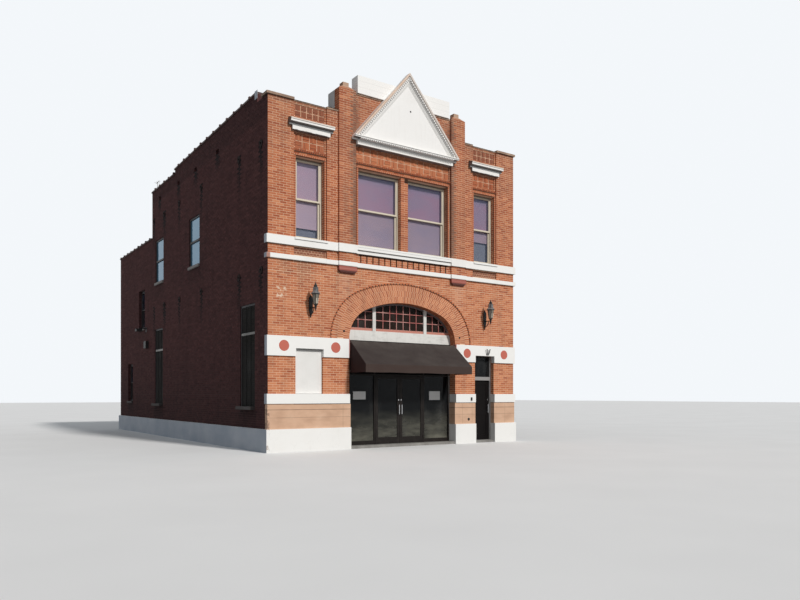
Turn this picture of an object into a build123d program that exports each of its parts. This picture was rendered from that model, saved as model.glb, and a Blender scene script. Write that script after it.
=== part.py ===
from build123d import *
from math import atan2, cos, hypot, pi, sin
import os

# Two-storey brick fire station with an arched engine doorway and a gabled parapet.
# Millimetres. X runs along the street front, Y from the front to the back, Z up.
# The origin is on the ground, in the middle of the street wall's face.

# Plan of the building
half_width = 4620
front_wall = 360
side_wall = 330
main_depth = 11500
rear_depth = 5400

# Heights of the front, course by course from the ground up
base_height = 650
stone_height = 710
sill_band_height = 280
lower_brick_height = 1065
white_band_height = 565
arch_wall_height = 2150
thin_belt_height = 130
frieze_height = 280
upper_belt_height = 240
upper_wall_height = 3880

# How far each course stands out from the brick face, and how deep it is let in
base_proud = 75
stone_proud = 30
sill_band_proud = 55
white_band_proud = 45
belt_proud = 60
belt_break = 50
belt_lap = 30
bay_sill_nose = 25
bay_sill_height = 60
centre_sill_rise = 20
frieze_margin = 30
slot_pitch = 215.5
slot_width = 38
slot_depth = 70
slot_count = 16
slot_foot = 20
corbel_proud = 95
corbel_foot = 25
corbel_height = 220
corbel_corner = 90
corbel_lap = 20
facing_depth = 120
quoin_width = 250

# Arched doorway, as a three-centred arch
arch_half_span = 2020
arch_rise = 1210
arch_corner_radius = 1000
ring_width = 610
ring_crown_depth = 570
ring_corner_radius = 1560
hood_width = 36
hood_proud = 20
jamb_stone_lap = 30

# Side doorway and the boarded window of the ground floor
side_door_left = 2870
side_door_width = 840
lower_opening_head = 2930
board_window_left = -3780
board_window_width = 880
board_recess = 100
board_thickness = 40

# Upper front: pilasters, bays and windows
pilaster_inner = 1820
pilaster_width = 570
pilaster_proud = 57
pilaster_extra_height = 720
pilaster_cap_slope = 120
pilaster_cap_head = 200
pilaster_cap_block = 110
bay_strip = 380
bay_width = 1060
bay_recess = 50
centre_recess = 20
window_height = 2330
bay_window_width = 900
centre_window_half = 1700
mullion_half = 135
mullion_setback = 30
roll_radius = 38
frame_setback = 180
window_frame_depth = 100
window_frame_width = 52
sash_width = 48
sash_depth = 45
sash_reveal = 5
glass_thickness = 8
meeting_rail_share = 0.495
label_gap = 130
label_height = 60
label_proud = 30

# Gable and cornices
gable_half_span = 1965
gable_rise = 2300
gable_above_head = 670
gable_proud = 290
gable_panel_proud = 170
gable_fascia = 140
gable_fascia_half = 1810
gable_fascia_proud = 150
gable_crown_drop = 90
rake_crown = 75
rake_dentil_strip = 75
rake_bed = 100
rake_dentil_proud = 80
rake_bed_proud = 45
cornice_half = 700
cornice_band_half = 605
cornice_above_head = 700
cornice_proud = 200
cornice_band_proud = 80
cornice_band_height = 125
cornice_crown_height = 165
cornice_wash = 60
centre_parapet_extra = 650
centre_coping = 50
screen_half = 1746
screen_height = 530
screen_proud = 40
screen_depth = 350
return_width = 300
return_depth = 230
return_drop = 10
return_sheet = 15
return_sheet_run = 150
coping_height = 70
coping_overhang = 50
coping_lip = 20
strip_coping_share = 0.8
panel_recess = 25
panel_margin = 60
panel_height = 400
parapet_panel_height = 350

# Floors and roofs
ground_slab = 80
upper_floor_top = 5200
upper_floor_thickness = 250
roof_top_front = 9500
roof_fall = 150
roof_thickness = 250
rear_floor_top = 3450
rear_roof_top = 7600

# Tops of the side walls behind the front
side_parapet_front_run = 730
side_parapet_high = 10200
side_parapet_fall = 160
side_parapet_step = 8440
side_parapet_low = 9880
rear_parapet = 8000
tile_height = 55
tile_overhang = 30

# Side windows: width, sill height, height and the share of the height where the middle rail lies
tall_window = (1110, 1180, 3080, 0.72)
upper_window = (1110, 6030, 1800, 0.5)
landing_window = (960, 4370, 1720, 0.5)
rear_low_window = (860, 1250, 1750, 0.5)
front_tall_place = 900
front_upper_place = 5680
back_tall_from_end = 1480
back_upper_from_end = 1570
landing_from_main = 1150
rear_low_from_main = 3150
side_sill_height = 90
side_sill_proud = 60
tall_sill_proud = 150
side_frame_back = 110

# Back wall windows and the doorway into the rear block
back_window_centre = 2200
inner_door_half = 900
inner_door_head = 2500

# Iron plates that tie the floors and roof to the side walls, placed from the front and from the back
plate_width = 220
plate_thickness = 25
plate_boss = 56
plate_boss_proud = 30
floor_plate_height = 5130
roof_plate_height = 8690
plates_from_front = (440, 2090, 5500)
plates_from_end = (3600, 1700)
last_plate_from_end = 270
vent_width = 260
vent_height = 150
vent_depth = 100
vents_from_front = (3940, 6090)
vents_from_end = (3490, 1100)
vent_level = 9450

# Storefront in the arch
storefront_setback = 285
storefront_depth = 75
mullion_face = 50
entrance_half = 915
door_gap = 6
door_meeting_gap = 10
door_foot_gap = 8
leaf_height = 2110
leaf_thickness = 45
stile_width = 90
top_rail = 90
bottom_rail = 200
transom_height = 50
sidelight_sill = 120
pull_length = 300
pull_radius = 13
pull_standoff = 55
pull_offset = 45
pull_bottom = 1000
pull_post_inset = 40
pull_post_radius = 9
lock_above_pull = 150
lock_radius = 20
lock_proud = 12
knuckle_radius = 8
knuckle_length = 50
knuckle_gap = 0.3
hinge_off_face = 9
hinge_inset = 180
hinge_flap = 20

# Fanlight in the arch's head
fan_beam_height = 310
fan_setback = 255
fan_depth = 90
fan_trim = 55
fan_post_centre = 975
fan_post_width = 115
fan_rail = 80
fan_rail_setback = 30
fan_rail_depth = 40
fan_bar = 24
fan_bar_setback = 25
fan_bar_depth = 25
fan_pane = 255
fan_middle_panes = 7
fan_side_panes = 4
fan_rows = 3

# Side door
side_frame_setback = 150
side_frame_depth = 100
side_frame_width = 45
side_leaf_height = 2010
side_leaf_gap = 8
side_transom_height = 120
side_panel_margin = 110
side_panel_depth = 12
side_panels = ((160, 680), (165, 865))

# Awning over the entrance
awning_half = 1990
awning_top = 3225
awning_reach = 890
awning_front_top = 2503
awning_bottom = 2266
awning_cloth = 10
awning_tube = 25
awning_clearance = 0.3
awning_arm_rise = 40

# Lanterns on the front
lantern_place = 3300
lantern_reach = 310
lantern_body_bottom = 4160
lantern_body_height = 310
lantern_body_foot = 68
lantern_body_shoulder = 115
lantern_brim_radius = 145
lantern_brim_edge = 15
lantern_brim_height = 60
lantern_drum_radius = 88
lantern_drum_height = 110
lantern_cap_radius = 62
lantern_cap_height = 75
lantern_finial = 85
lantern_tail = 170
lantern_tail_radius = 45
lantern_tip_radius = 12
lantern_plate_width = 120
lantern_plate_height = 660
lantern_plate_below = 280
lantern_plate_point = 200
lantern_plate_thickness = 25
lantern_arm_radius = 14
lantern_arm_drop = 60
lantern_brace_radius = 190
lantern_brace_width = 22

# Bracket light and meter box on the rear block's left side
bracket_from_main = 900
bracket_level = 4250
bracket_plate = 120
bracket_plate_height = 200
bracket_plate_thickness = 20
bracket_arm = 40
bracket_arm_level = 130
bracket_reach = 320
bracket_hood_width = 260
bracket_hood_top = 180
bracket_hood_length = 240
bracket_hood_height = 110
meter_box_from_main = 560
meter_box_level = 3560
meter_box_width = 320
meter_box_height = 300
meter_box_depth = 130

# Sizes worked out from the ones above
base_top = base_height
stone_top = base_top + stone_height
sill_top = stone_top + sill_band_height
band_bottom = sill_top + lower_brick_height
spring = band_bottom + white_band_height
belt_bottom = spring + arch_wall_height
frieze_bottom = belt_bottom + thin_belt_height
upper_belt_bottom = frieze_bottom + frieze_height
window_sill = upper_belt_bottom + upper_belt_height
window_head = window_sill + window_height
label_top = window_head + label_gap + label_height
parapet_top = window_sill + upper_wall_height
pilaster_outer = pilaster_inner + pilaster_width
pilaster_top = parapet_top + pilaster_extra_height
bay_inner = pilaster_outer + bay_strip
bay_outer = bay_inner + bay_width
bay_centre = (bay_inner + bay_outer) / 2
bay_window_inner = bay_centre - bay_window_width / 2
bay_window_outer = bay_centre + bay_window_width / 2
side_door_right = side_door_left + side_door_width
board_window_right = board_window_left + board_window_width
wall_inside = half_width - side_wall
building_depth = main_depth + rear_depth
main_back_face = main_depth - side_wall
centre_parapet_top = parapet_top + centre_parapet_extra
screen_bottom = centre_parapet_top + centre_coping
screen_top = screen_bottom + screen_height
gable_bottom = window_head + gable_above_head
gable_crown_bottom = gable_bottom + gable_fascia
gable_eave = gable_crown_bottom + gable_crown_drop
gable_tip = gable_eave + gable_rise
panel_bottom = label_top + panel_margin
cornice_bottom = window_head + cornice_above_head
cornice_crown_bottom = cornice_bottom + cornice_band_height
cornice_crown_top = cornice_crown_bottom + cornice_crown_height
cornice_top = cornice_crown_top + cornice_wash
parapet_panel_bottom = parapet_top - coping_height - parapet_panel_height
back_tall_place = main_depth - back_tall_from_end
back_upper_place = main_depth - back_upper_from_end
landing_place = main_depth + landing_from_main
rear_low_place = main_depth + rear_low_from_main
stone_jamb = arch_half_span - jamb_stone_lap
ring_outer = arch_half_span + ring_width
ring_rise = arch_rise + ring_crown_depth
storefront_back = storefront_setback + storefront_depth
leaf_bottom = ground_slab + door_foot_gap
leaf_top = leaf_bottom + leaf_height
transom_bottom = leaf_top + door_foot_gap


def block(x0, x1, y0, y1, z0, z1):
    """A box between two corners."""
    return Pos((x0 + x1) / 2, (y0 + y1) / 2, (z0 + z1) / 2) * Box(x1 - x0, y1 - y0, z1 - z0)


def along_x(points, x0, x1):
    """A profile of (y, z) points, run from x0 to x1."""
    return extrude(Plane.YZ.offset(x0) * Polygon(*points), x1 - x0, dir=(1, 0, 0))


def along_y(outline, y0, y1):
    """An outline in x and z, as points or as a face, run from y0 back to y1."""
    face = Polygon(*outline) if isinstance(outline, list) else outline
    return extrude(Plane.XZ.offset(-y0) * face, y1 - y0, dir=(0, 1, 0))


def bowed(start, end, bow):
    """An arc between two points that bows to the left of the way between them, by a share of its length."""
    along, up = end[0] - start[0], end[1] - start[1]
    middle = ((start[0] + end[0]) / 2 - up * bow, (start[1] + end[1]) / 2 + along * bow)
    return ThreePointArc(start, middle, end)


def run_moulding(profile, start, direction, length):
    """A moulding whose profile is drawn as (out from the wall, down from its top), run from a start."""
    across = Plane(origin=start, x_dir=(0, -1, 0), z_dir=direction)
    return extrude(across * profile, length, dir=direction)


def crown_profile(back, proud, height):
    """A crown moulding: a fillet, a flat corona under it and a cove back to the wall."""
    out = proud - back
    fillet = height * 0.24
    corona = height * 0.6
    face = proud - out * 0.06
    soffit = proud - out * 0.22
    throat = back + out * 0.34
    outline = (
        Polyline((back, 0), (proud, 0), (proud, fillet), (face, fillet), (face, corona), (soffit, corona))
        + bowed((soffit, corona), (throat, height), 0.2)
        + Polyline((throat, height), (back, height), (back, 0))
    )
    return make_face(outline)


def ring_of(radius, count, z, y):
    """The corners of a level regular outline round x 0, with a flat side to the street."""
    turns = [2 * pi * (step + 0.5) / count for step in range(count)]
    return [(radius * sin(turn), y - radius * cos(turn), z) for turn in turns]


def tapered(low, high):
    """A solid with flat sides between two level outlines that have the same number of corners."""
    sides = [(low[step - 1], low[step], high[step], high[step - 1]) for step in range(len(low))]
    return Solid(Shell([Face(Wire.make_polygon(corners)) for corners in (low, high, *sides)]))


def rod(radius, length, sides):
    """An upright rod with flat sides, standing on the origin."""
    return extrude(RegularPolygon(radius, sides), length)


def both_sides(*shapes):
    """Each shape and its mirror image across the middle of the front."""
    return list(shapes) + [mirror(shape, about=Plane.YZ) for shape in shapes]


def fuse(*shapes):
    """One solid from shapes that meet."""
    return Solid.fuse(*[solid for shape in shapes for solid in shape.solids()]).clean()


def save(name, *pieces):
    """Write the pieces of one node, each piece a solid of its own."""
    solids = [solid for piece in pieces for solid in piece.solids()]
    export_step(Compound(solids), f"parts/{name}.step")


def arch_face(half_span, rise, corner_radius):
    """The area under a three-centred arch, standing on the springing line."""
    corner_x = half_span - corner_radius
    crown_radius = (corner_x**2 + rise**2 - corner_radius**2) / (2 * (rise - corner_radius))
    drop = crown_radius - rise
    reach = hypot(corner_x, drop)
    join_x = crown_radius * corner_x / reach
    join_z = crown_radius * drop / reach - drop
    half_turn = atan2(join_z, join_x - corner_x) / 2
    mid_x = corner_x + corner_radius * cos(half_turn)
    mid_z = corner_radius * sin(half_turn)
    outline = (
        ThreePointArc((half_span, 0), (mid_x, mid_z), (join_x, join_z))
        + ThreePointArc((join_x, join_z), (0, rise), (-join_x, join_z))
        + ThreePointArc((-join_x, join_z), (-mid_x, mid_z), (-half_span, 0))
        + Line((-half_span, 0), (half_span, 0))
    )
    return Pos(0, spring) * make_face(outline)


def course(z0, z1, proud, jamb, depth=front_wall):
    """One facing course of the ground floor: left of the arch, between the openings, and right."""
    corner = half_width + proud
    quoin = jamb + quoin_width
    left = fuse(
        block(-corner, -quoin, -proud, facing_depth, z0, z1),
        block(-quoin, -jamb, -proud, depth, z0, z1),
    )
    middle = block(jamb, side_door_left, -proud, depth, z0, z1)
    right = fuse(
        block(side_door_right, side_door_right + quoin_width, -proud, depth, z0, z1),
        block(side_door_right + quoin_width, corner, -proud, facing_depth, z0, z1),
    )
    return left, middle, right


def window_hole(place, window):
    """The opening of a side window through both side walls."""
    width, sill, height, _ = window
    return block(-half_width - 1, half_width + 1, place, place + width, sill, sill + height)


def panel_cut(x0, x1, face, z0, height):
    """A shallow recess in a wall face for a panel of patterned brick."""
    return block(x0 + panel_margin, x1 - panel_margin, face - 1, face + panel_recess, z0, z0 + height)


def framed_light(width, height, depth, rail):
    """A rectangular frame lying between x 0 and width, z 0 and height."""
    light = block(rail, width - rail, -1, depth + 1, rail, height - rail)
    return block(0, width, 0, depth, 0, height) - light


def double_hung(width, height, share=meeting_rail_share):
    """A double-hung window: the frame with both sashes, the upper sash forward of the lower."""
    outer = framed_light(width, height, window_frame_depth, window_frame_width)
    inner_width = width - 2 * window_frame_width
    inner_height = height - 2 * window_frame_width
    lap = sash_depth / 2
    lower_height = inner_height * share + lap
    upper_height = inner_height * (1 - share) + lap
    lower = framed_light(inner_width, lower_height, sash_depth, sash_width)
    upper = framed_light(inner_width, upper_height, sash_depth, sash_width)
    upper_at = Pos(window_frame_width, sash_reveal, window_frame_width + inner_height * share - lap)
    lower_at = Pos(window_frame_width, sash_reveal + sash_depth, window_frame_width)
    frame = fuse(outer, upper_at * upper, lower_at * lower)
    return frame, [upper_at * pane(inner_width, upper_height), lower_at * pane(inner_width, lower_height)]


def pane(width, height):
    """The glass of one sash, seated on the inside of its four rails."""
    face = sash_depth / 2
    right = width - sash_width
    return block(sash_width, right, face, face + glass_thickness, sash_width, height - sash_width)


def ground_floor():
    """The floor slab, with its tongues into the two street doorways."""
    room = block(-wall_inside, wall_inside, front_wall, main_back_face, 0, ground_slab)
    arch_tongue = block(-stone_jamb, stone_jamb, -stone_proud, front_wall, 0, ground_slab)
    door_tongue = block(side_door_left, side_door_right, 0, front_wall, 0, ground_slab)
    passage = block(-inner_door_half, inner_door_half, main_back_face, main_depth, 0, ground_slab)
    rear = block(-wall_inside, wall_inside, main_depth, building_depth - side_wall, 0, ground_slab)
    save("ground_floor", fuse(room, arch_tongue, door_tongue, passage, rear))


def floors_and_roofs():
    """The upper floors of both blocks, and the roof decks that fall to the back."""
    under = upper_floor_top - upper_floor_thickness
    upper = block(-wall_inside, wall_inside, front_wall, main_back_face, under, upper_floor_top)
    rear_under = rear_floor_top - upper_floor_thickness
    rear_end = building_depth - side_wall
    rear = block(-wall_inside, wall_inside, main_depth, rear_end, rear_under, rear_floor_top)
    save("upper_floors", upper, rear)
    roof_top_back = roof_top_front - roof_fall
    main_roof = along_x(
        [
            (front_wall, roof_top_front - roof_thickness),
            (main_back_face, roof_top_back - roof_thickness),
            (main_back_face, roof_top_back),
            (front_wall, roof_top_front),
        ],
        -wall_inside,
        wall_inside,
    )
    rear_roof_under = rear_roof_top - roof_thickness
    rear_roof = block(-wall_inside, wall_inside, main_depth, rear_end, rear_roof_under, rear_roof_top)
    save("roof_decks", main_roof, rear_roof)


def ground_courses():
    """The painted base and the limestone, and the lengths of the sill band over them."""
    left, middle, right = course(0, base_top, base_proud, stone_jamb)
    outside = half_width + base_proud
    left_side = block(-outside, -half_width, facing_depth, building_depth + base_proud, 0, base_top)
    back = block(-half_width, half_width, building_depth, building_depth + base_proud, 0, base_top)
    right_side = block(half_width, outside, facing_depth, building_depth + base_proud, 0, base_top)
    save("painted_base", fuse(left, left_side, back, right_side, right), middle)
    stone = course(base_top, stone_top, stone_proud, stone_jamb)
    save("limestone_courses", *stone)
    sill = course(stone_top, sill_top, sill_band_proud, arch_half_span)
    return (left, middle, right, *stone), sill


def lower_front(courses, sill):
    """The ground floor's brick piers, the painted bands and the board in the left opening."""
    corner = half_width + white_band_proud
    band_left = block(-corner, -arch_half_span, -white_band_proud, facing_depth, band_bottom, spring)
    band_left -= block(board_window_left, board_window_right, -front_wall, front_wall, 0, lower_opening_head)
    band_right = block(arch_half_span, corner, -white_band_proud, facing_depth, band_bottom, spring)
    band_right -= block(side_door_left, side_door_right, -front_wall, front_wall, 0, lower_opening_head)
    save("painted_bands", *sill, band_left, band_right)

    left = block(-half_width, -arch_half_span, 0, front_wall, 0, spring)
    left -= block(board_window_left, board_window_right, -1, front_wall + 1, sill_top, lower_opening_head)
    right = block(arch_half_span, half_width, 0, front_wall, 0, spring)
    right -= block(side_door_left, side_door_right, -1, front_wall + 1, -1, lower_opening_head)
    for facing in (*courses, *sill, band_left, band_right):
        left -= facing
        right -= facing
    save("lower_brick_piers", left, right)

    save(
        "window_board",
        block(
            board_window_left,
            board_window_right,
            board_recess,
            board_recess + board_thickness,
            sill_top,
            lower_opening_head,
        ),
    )


def arch():
    """The wall round the arch, the brick ring, and the thin hood that stands out round it."""
    inner = arch_face(arch_half_span, arch_rise, arch_corner_radius)
    outer = arch_face(ring_outer, ring_rise, ring_corner_radius)
    hood = arch_face(ring_outer + hood_width, ring_rise + hood_width, ring_corner_radius + hood_width)
    wall = block(-half_width, half_width, 0, front_wall, spring, belt_bottom)
    save("arch_wall", wall - along_y(outer, -1, front_wall + 1))
    ring = along_y(outer, 0, front_wall) - along_y(inner, -1, front_wall + 1)
    hood = along_y(hood, -hood_proud, 0) - along_y(outer, -hood_proud - 1, 1)
    save("arch_ring", ring, hood)


def belts():
    """The two white belts that break forward at the pilasters, with the upper windows' sills."""
    corner = half_width + belt_proud
    break_in = pilaster_inner - belt_lap
    break_out = pilaster_outer + belt_lap

    def belt(z0, z1):
        course_run = block(-corner, corner, -belt_proud, facing_depth, z0, z1)
        breaks = both_sides(block(break_in, break_out, -belt_proud - belt_break, 0, z0, z1))
        return fuse(course_run, *breaks)

    sill_back = frame_setback + window_frame_depth
    bay_nose = -belt_proud - bay_sill_nose
    bay_sill = block(bay_inner, bay_outer, bay_nose, sill_back, window_sill - bay_sill_height, window_sill)
    bay_seat = block(bay_window_inner, bay_window_outer, 0, sill_back, upper_belt_bottom, window_sill)
    sill_height = window_sill - upper_belt_bottom - centre_sill_rise
    centre_sill = run_moulding(
        crown_profile(0, belt_proud + belt_break, sill_height),
        (-break_in, 0, window_sill),
        (1, 0, 0),
        2 * break_in,
    )
    centre_seat = block(-centre_window_half, centre_window_half, 0, sill_back, upper_belt_bottom, window_sill)
    thin = belt(belt_bottom, frieze_bottom)
    upper = belt(upper_belt_bottom, window_sill)
    upper = fuse(upper, centre_sill, centre_seat, *both_sides(bay_sill, bay_seat))
    save("belts", thin, upper)
    return thin, upper


def frieze(thin, upper):
    """The brick between the belts, with a row of slots under the centre sill and a panel under each bay."""
    wall = block(-half_width, half_width, 0, front_wall, belt_bottom, window_sill)
    shaft = block(pilaster_inner, pilaster_outer, -pilaster_proud, 0, frieze_bottom, upper_belt_bottom)
    wall = fuse(wall, *both_sides(shaft))
    low = frieze_bottom + frieze_margin
    high = upper_belt_bottom - frieze_margin
    for cut in both_sides(block(bay_inner, bay_outer, -1, bay_recess, low, high)):
        wall -= cut
    for step in range(slot_count):
        left = slot_pitch * (step - (slot_count - 1) / 2) - slot_width / 2
        wall -= block(left, left + slot_width, -1, slot_depth, frieze_bottom + slot_foot, upper_belt_bottom)
    save("frieze_wall", wall - thin - upper)


def corbels():
    """The pair of rounded corbels under the thin belt, in line with the pilasters."""
    corner = (corbel_proud, corbel_height * 0.3)
    foot = (corbel_foot, corbel_height)
    profile = make_face(
        Polyline((0, 0), (corbel_proud, 0), corner)
        + bowed(corner, foot, -0.22)
        + Polyline(foot, (0, corbel_height), (0, 0))
    )
    left = pilaster_inner - corbel_lap
    right = pilaster_outer + corbel_lap
    corbel = run_moulding(profile, (left, 0, belt_bottom), (1, 0, 0), right - left)
    cut = corbel_corner
    low = belt_bottom - corbel_height
    for x, way in ((left, 1), (right, -1)):
        corner_cut = [(x - way, low - 1), (x - way, low + cut), (x + way * cut, low - 1)]
        corbel -= along_y(corner_cut, -corbel_proud - 1, 1)
    save("corbels", *both_sides(corbel))


def window_roll(x0, x1, face):
    """A rolled brick moulding up one jamb of an opening, over its head and down the other."""
    stands = Align.CENTER, Align.CENTER, Align.MIN
    jamb = Cylinder(roll_radius, window_height + roll_radius, align=stands)
    head = Rot(0, 90, 0) * Cylinder(roll_radius, x1 - x0, align=stands)
    level = window_head + roll_radius
    jambs = [Pos(x, face, window_sill) * jamb for x in (x0, x1)]
    knees = [Pos(x, face, level) * Sphere(roll_radius) for x in (x0, x1)]
    whole = fuse(*jambs, Pos(x0, face, level) * head, *knees)
    reach = 3 * roll_radius
    return whole & block(x0 - reach, x1 + reach, face - reach, face, window_sill, window_head + reach)


def bay_walls():
    """The brick of each side bay, with its rolled window surround, its label course and its panels."""
    bay = block(pilaster_outer, half_width, 0, front_wall, window_sill, parapet_top)
    bay -= block(bay_inner, bay_outer, -1, bay_recess, window_sill - 1, parapet_top + 1)
    bay -= block(bay_window_inner, bay_window_outer, -1, front_wall + 1, window_sill - 1, window_head)
    bay -= panel_cut(bay_inner, bay_outer, bay_recess, panel_bottom, panel_height)
    bay -= panel_cut(bay_inner, bay_outer, bay_recess, parapet_panel_bottom, parapet_panel_height)
    face = bay_recess - label_proud
    label = block(bay_inner, bay_outer, face, bay_recess, label_top - label_height, label_top)
    roll = window_roll(bay_window_inner - roll_radius, bay_window_outer + roll_radius, bay_recess)
    save("bay_walls", *both_sides(fuse(bay, label, roll)))


def centre_wall():
    """The recessed brick between the pilasters, round the paired windows and up behind the gable."""
    wall = block(-pilaster_inner, pilaster_inner, centre_recess, front_wall, window_sill, centre_parapet_top)
    wall -= block(-centre_window_half, centre_window_half, 0, front_wall + 1, window_sill - 1, window_head)
    wall -= panel_cut(-pilaster_inner, pilaster_inner, centre_recess, panel_bottom, panel_height)
    mullion = block(-mullion_half, mullion_half, mullion_setback, front_wall, window_sill, window_head)
    face = centre_recess - label_proud
    label = block(-pilaster_inner, pilaster_inner, face, centre_recess, label_top - label_height, label_top)
    roll = window_roll(-centre_window_half - roll_radius, centre_window_half + roll_radius, centre_recess)
    save("centre_wall", fuse(wall, mullion, label, roll))


def pilasters():
    """The brick pilasters beside the centre bay, each with sloping shoulders and a block on its head."""
    shaft = block(pilaster_inner, pilaster_outer, -pilaster_proud, front_wall, window_sill, pilaster_top)
    centre_x = (pilaster_inner + pilaster_outer) / 2
    centre_y = (front_wall - pilaster_proud) / 2
    outlines = []
    for width, depth, z in (
        (pilaster_width, front_wall + pilaster_proud, pilaster_top),
        (pilaster_cap_head, pilaster_cap_head, pilaster_top + pilaster_cap_slope),
    ):
        ways = ((-1, -1), (1, -1), (1, 1), (-1, 1))
        outlines.append([(centre_x + a * width / 2, centre_y + b * depth / 2, z) for a, b in ways])
    shoulders = tapered(*outlines)
    half = pilaster_cap_head / 2
    head_bottom = pilaster_top + pilaster_cap_slope
    head_top = head_bottom + pilaster_cap_block
    head = block(centre_x - half, centre_x + half, centre_y - half, centre_y + half, head_bottom, head_top)
    save("pilasters", *both_sides(fuse(shaft, shoulders, head)))


def upper_windows():
    """The four double-hung windows of the upper front."""
    frames = []
    glass = []
    bay_frame, bay_glass = double_hung(bay_window_width, window_height)
    for shape in both_sides(Pos(bay_window_inner, frame_setback, window_sill) * bay_frame):
        frames.append(shape)
    for piece in bay_glass:
        glass += both_sides(Pos(bay_window_inner, frame_setback, window_sill) * piece)
    centre_frame, centre_glass = double_hung(centre_window_half - mullion_half, window_height)
    frames += both_sides(Pos(mullion_half, frame_setback, window_sill) * centre_frame)
    for piece in centre_glass:
        glass += both_sides(Pos(mullion_half, frame_setback, window_sill) * piece)
    save("upper_window_frames", *frames)
    return glass


def screen():
    """The white screen on the centre parapet, and the clad returns behind the pilasters."""
    screen_back = screen_depth - screen_proud
    sheet = block(-screen_half, screen_half, -screen_proud, screen_back, screen_bottom, screen_top)
    edge = pilaster_outer + return_sheet
    back = front_wall + return_depth
    top = pilaster_top - return_drop
    strip_top = parapet_top + coping_height * strip_coping_share
    clad = block(pilaster_outer - return_width, edge, front_wall, back, roof_top_front, top)
    turned = block(pilaster_outer, edge, front_wall - return_sheet_run, front_wall, strip_top, top)
    save("parapet_screen", sheet, *both_sides(fuse(clad, turned)))


def gable():
    """The triangular gable over the centre bay: its panel, its raking cornices and its level cornice."""
    side = block(pilaster_inner, pilaster_outer + 1, -pilaster_proud, front_wall, 0, pilaster_top)
    sides = both_sides(side)
    slope = atan2(gable_rise, gable_half_span)
    length = hypot(gable_rise, gable_half_span)

    triangle = [(-gable_half_span, gable_eave), (gable_half_span, gable_eave), (0, gable_tip)]
    panel = along_y(triangle, -gable_panel_proud, centre_recess)
    across = (-gable_half_span, gable_half_span)
    behind = block(*across, -screen_proud, front_wall, centre_parapet_top, gable_tip)
    for cut in (*sides, behind):
        panel -= cut
    save("gable_panel", panel)

    out = gable_panel_proud
    strip_out = out + rake_dentil_proud
    bed_out = out + rake_bed_proud
    strip_end = rake_crown + rake_dentil_strip
    bed_end = strip_end + rake_bed
    strip = Polygon((out, rake_crown), (strip_out, rake_crown), (strip_out, strip_end), (out, strip_end))
    bed_edge = strip_end + rake_bed * 0.3
    bed = Polygon((out, strip_end), (bed_out, strip_end), (bed_out, bed_edge), (out, bed_end))
    profile = crown_profile(out, gable_proud, rake_crown) + strip + bed
    way = (cos(slope), 0, sin(slope))
    foot = (-gable_half_span - length * way[0], 0, gable_eave - length * way[2])
    left_half = block(-2 * gable_half_span, 0, -gable_proud - 1, 0, gable_eave, gable_tip + 1)
    rakes = both_sides(run_moulding(profile, foot, way, 3 * length) & left_half)

    level = fuse(
        run_moulding(
            crown_profile(0, gable_proud, gable_crown_drop),
            (-gable_half_span, 0, gable_eave),
            (1, 0, 0),
            2 * gable_half_span,
        ),
        block(*across, 0, centre_recess, gable_crown_bottom, gable_eave),
        block(
            -gable_fascia_half,
            gable_fascia_half,
            -gable_fascia_proud,
            centre_recess,
            gable_bottom,
            gable_crown_bottom,
        ),
    )
    cornice = fuse(level, *rakes)
    for cut in sides:
        cornice -= cut
    save("gable_cornice", cornice)


def bay_cornices():
    """The short cornice across each side bay: a plain band, a crown and a sloping wash over it."""
    left = bay_centre - cornice_half
    width = 2 * cornice_half
    band = block(
        bay_centre - cornice_band_half,
        bay_centre + cornice_band_half,
        -cornice_band_proud,
        0,
        cornice_bottom,
        cornice_crown_bottom,
    )
    crown = crown_profile(0, cornice_proud, cornice_crown_height)
    crown = run_moulding(crown, (left, 0, cornice_crown_top), (1, 0, 0), width)
    slope = [(0, cornice_crown_top), (0, cornice_top), (-cornice_proud, cornice_crown_top)]
    wash = along_x(slope, left, left + width)
    infill = block(bay_inner, bay_outer, 0, bay_recess, cornice_bottom, cornice_top)
    save("bay_cornices", *both_sides(fuse(band, crown, wash, infill)))


def front_copings():
    """The coping stones over the corner piers, the bay panels, the strips beside them and the centre."""
    back = front_wall
    lip = coping_lip
    centre_face = centre_recess - lip
    centre = block(-pilaster_inner, pilaster_inner, centre_face, back, centre_parapet_top, screen_bottom)
    pier_end = half_width + coping_overhang
    pier = block(bay_outer, pier_end, -coping_overhang, back, parapet_top, parapet_top + coping_height)
    panel = block(bay_inner, bay_outer, bay_recess - lip, back, parapet_top, parapet_top + coping_height / 2)
    strip_top = parapet_top + coping_height * strip_coping_share
    strip = block(pilaster_outer, bay_inner, -lip, back, parapet_top, strip_top)
    return [centre, *both_sides(fuse(pier, panel, strip))]


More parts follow.
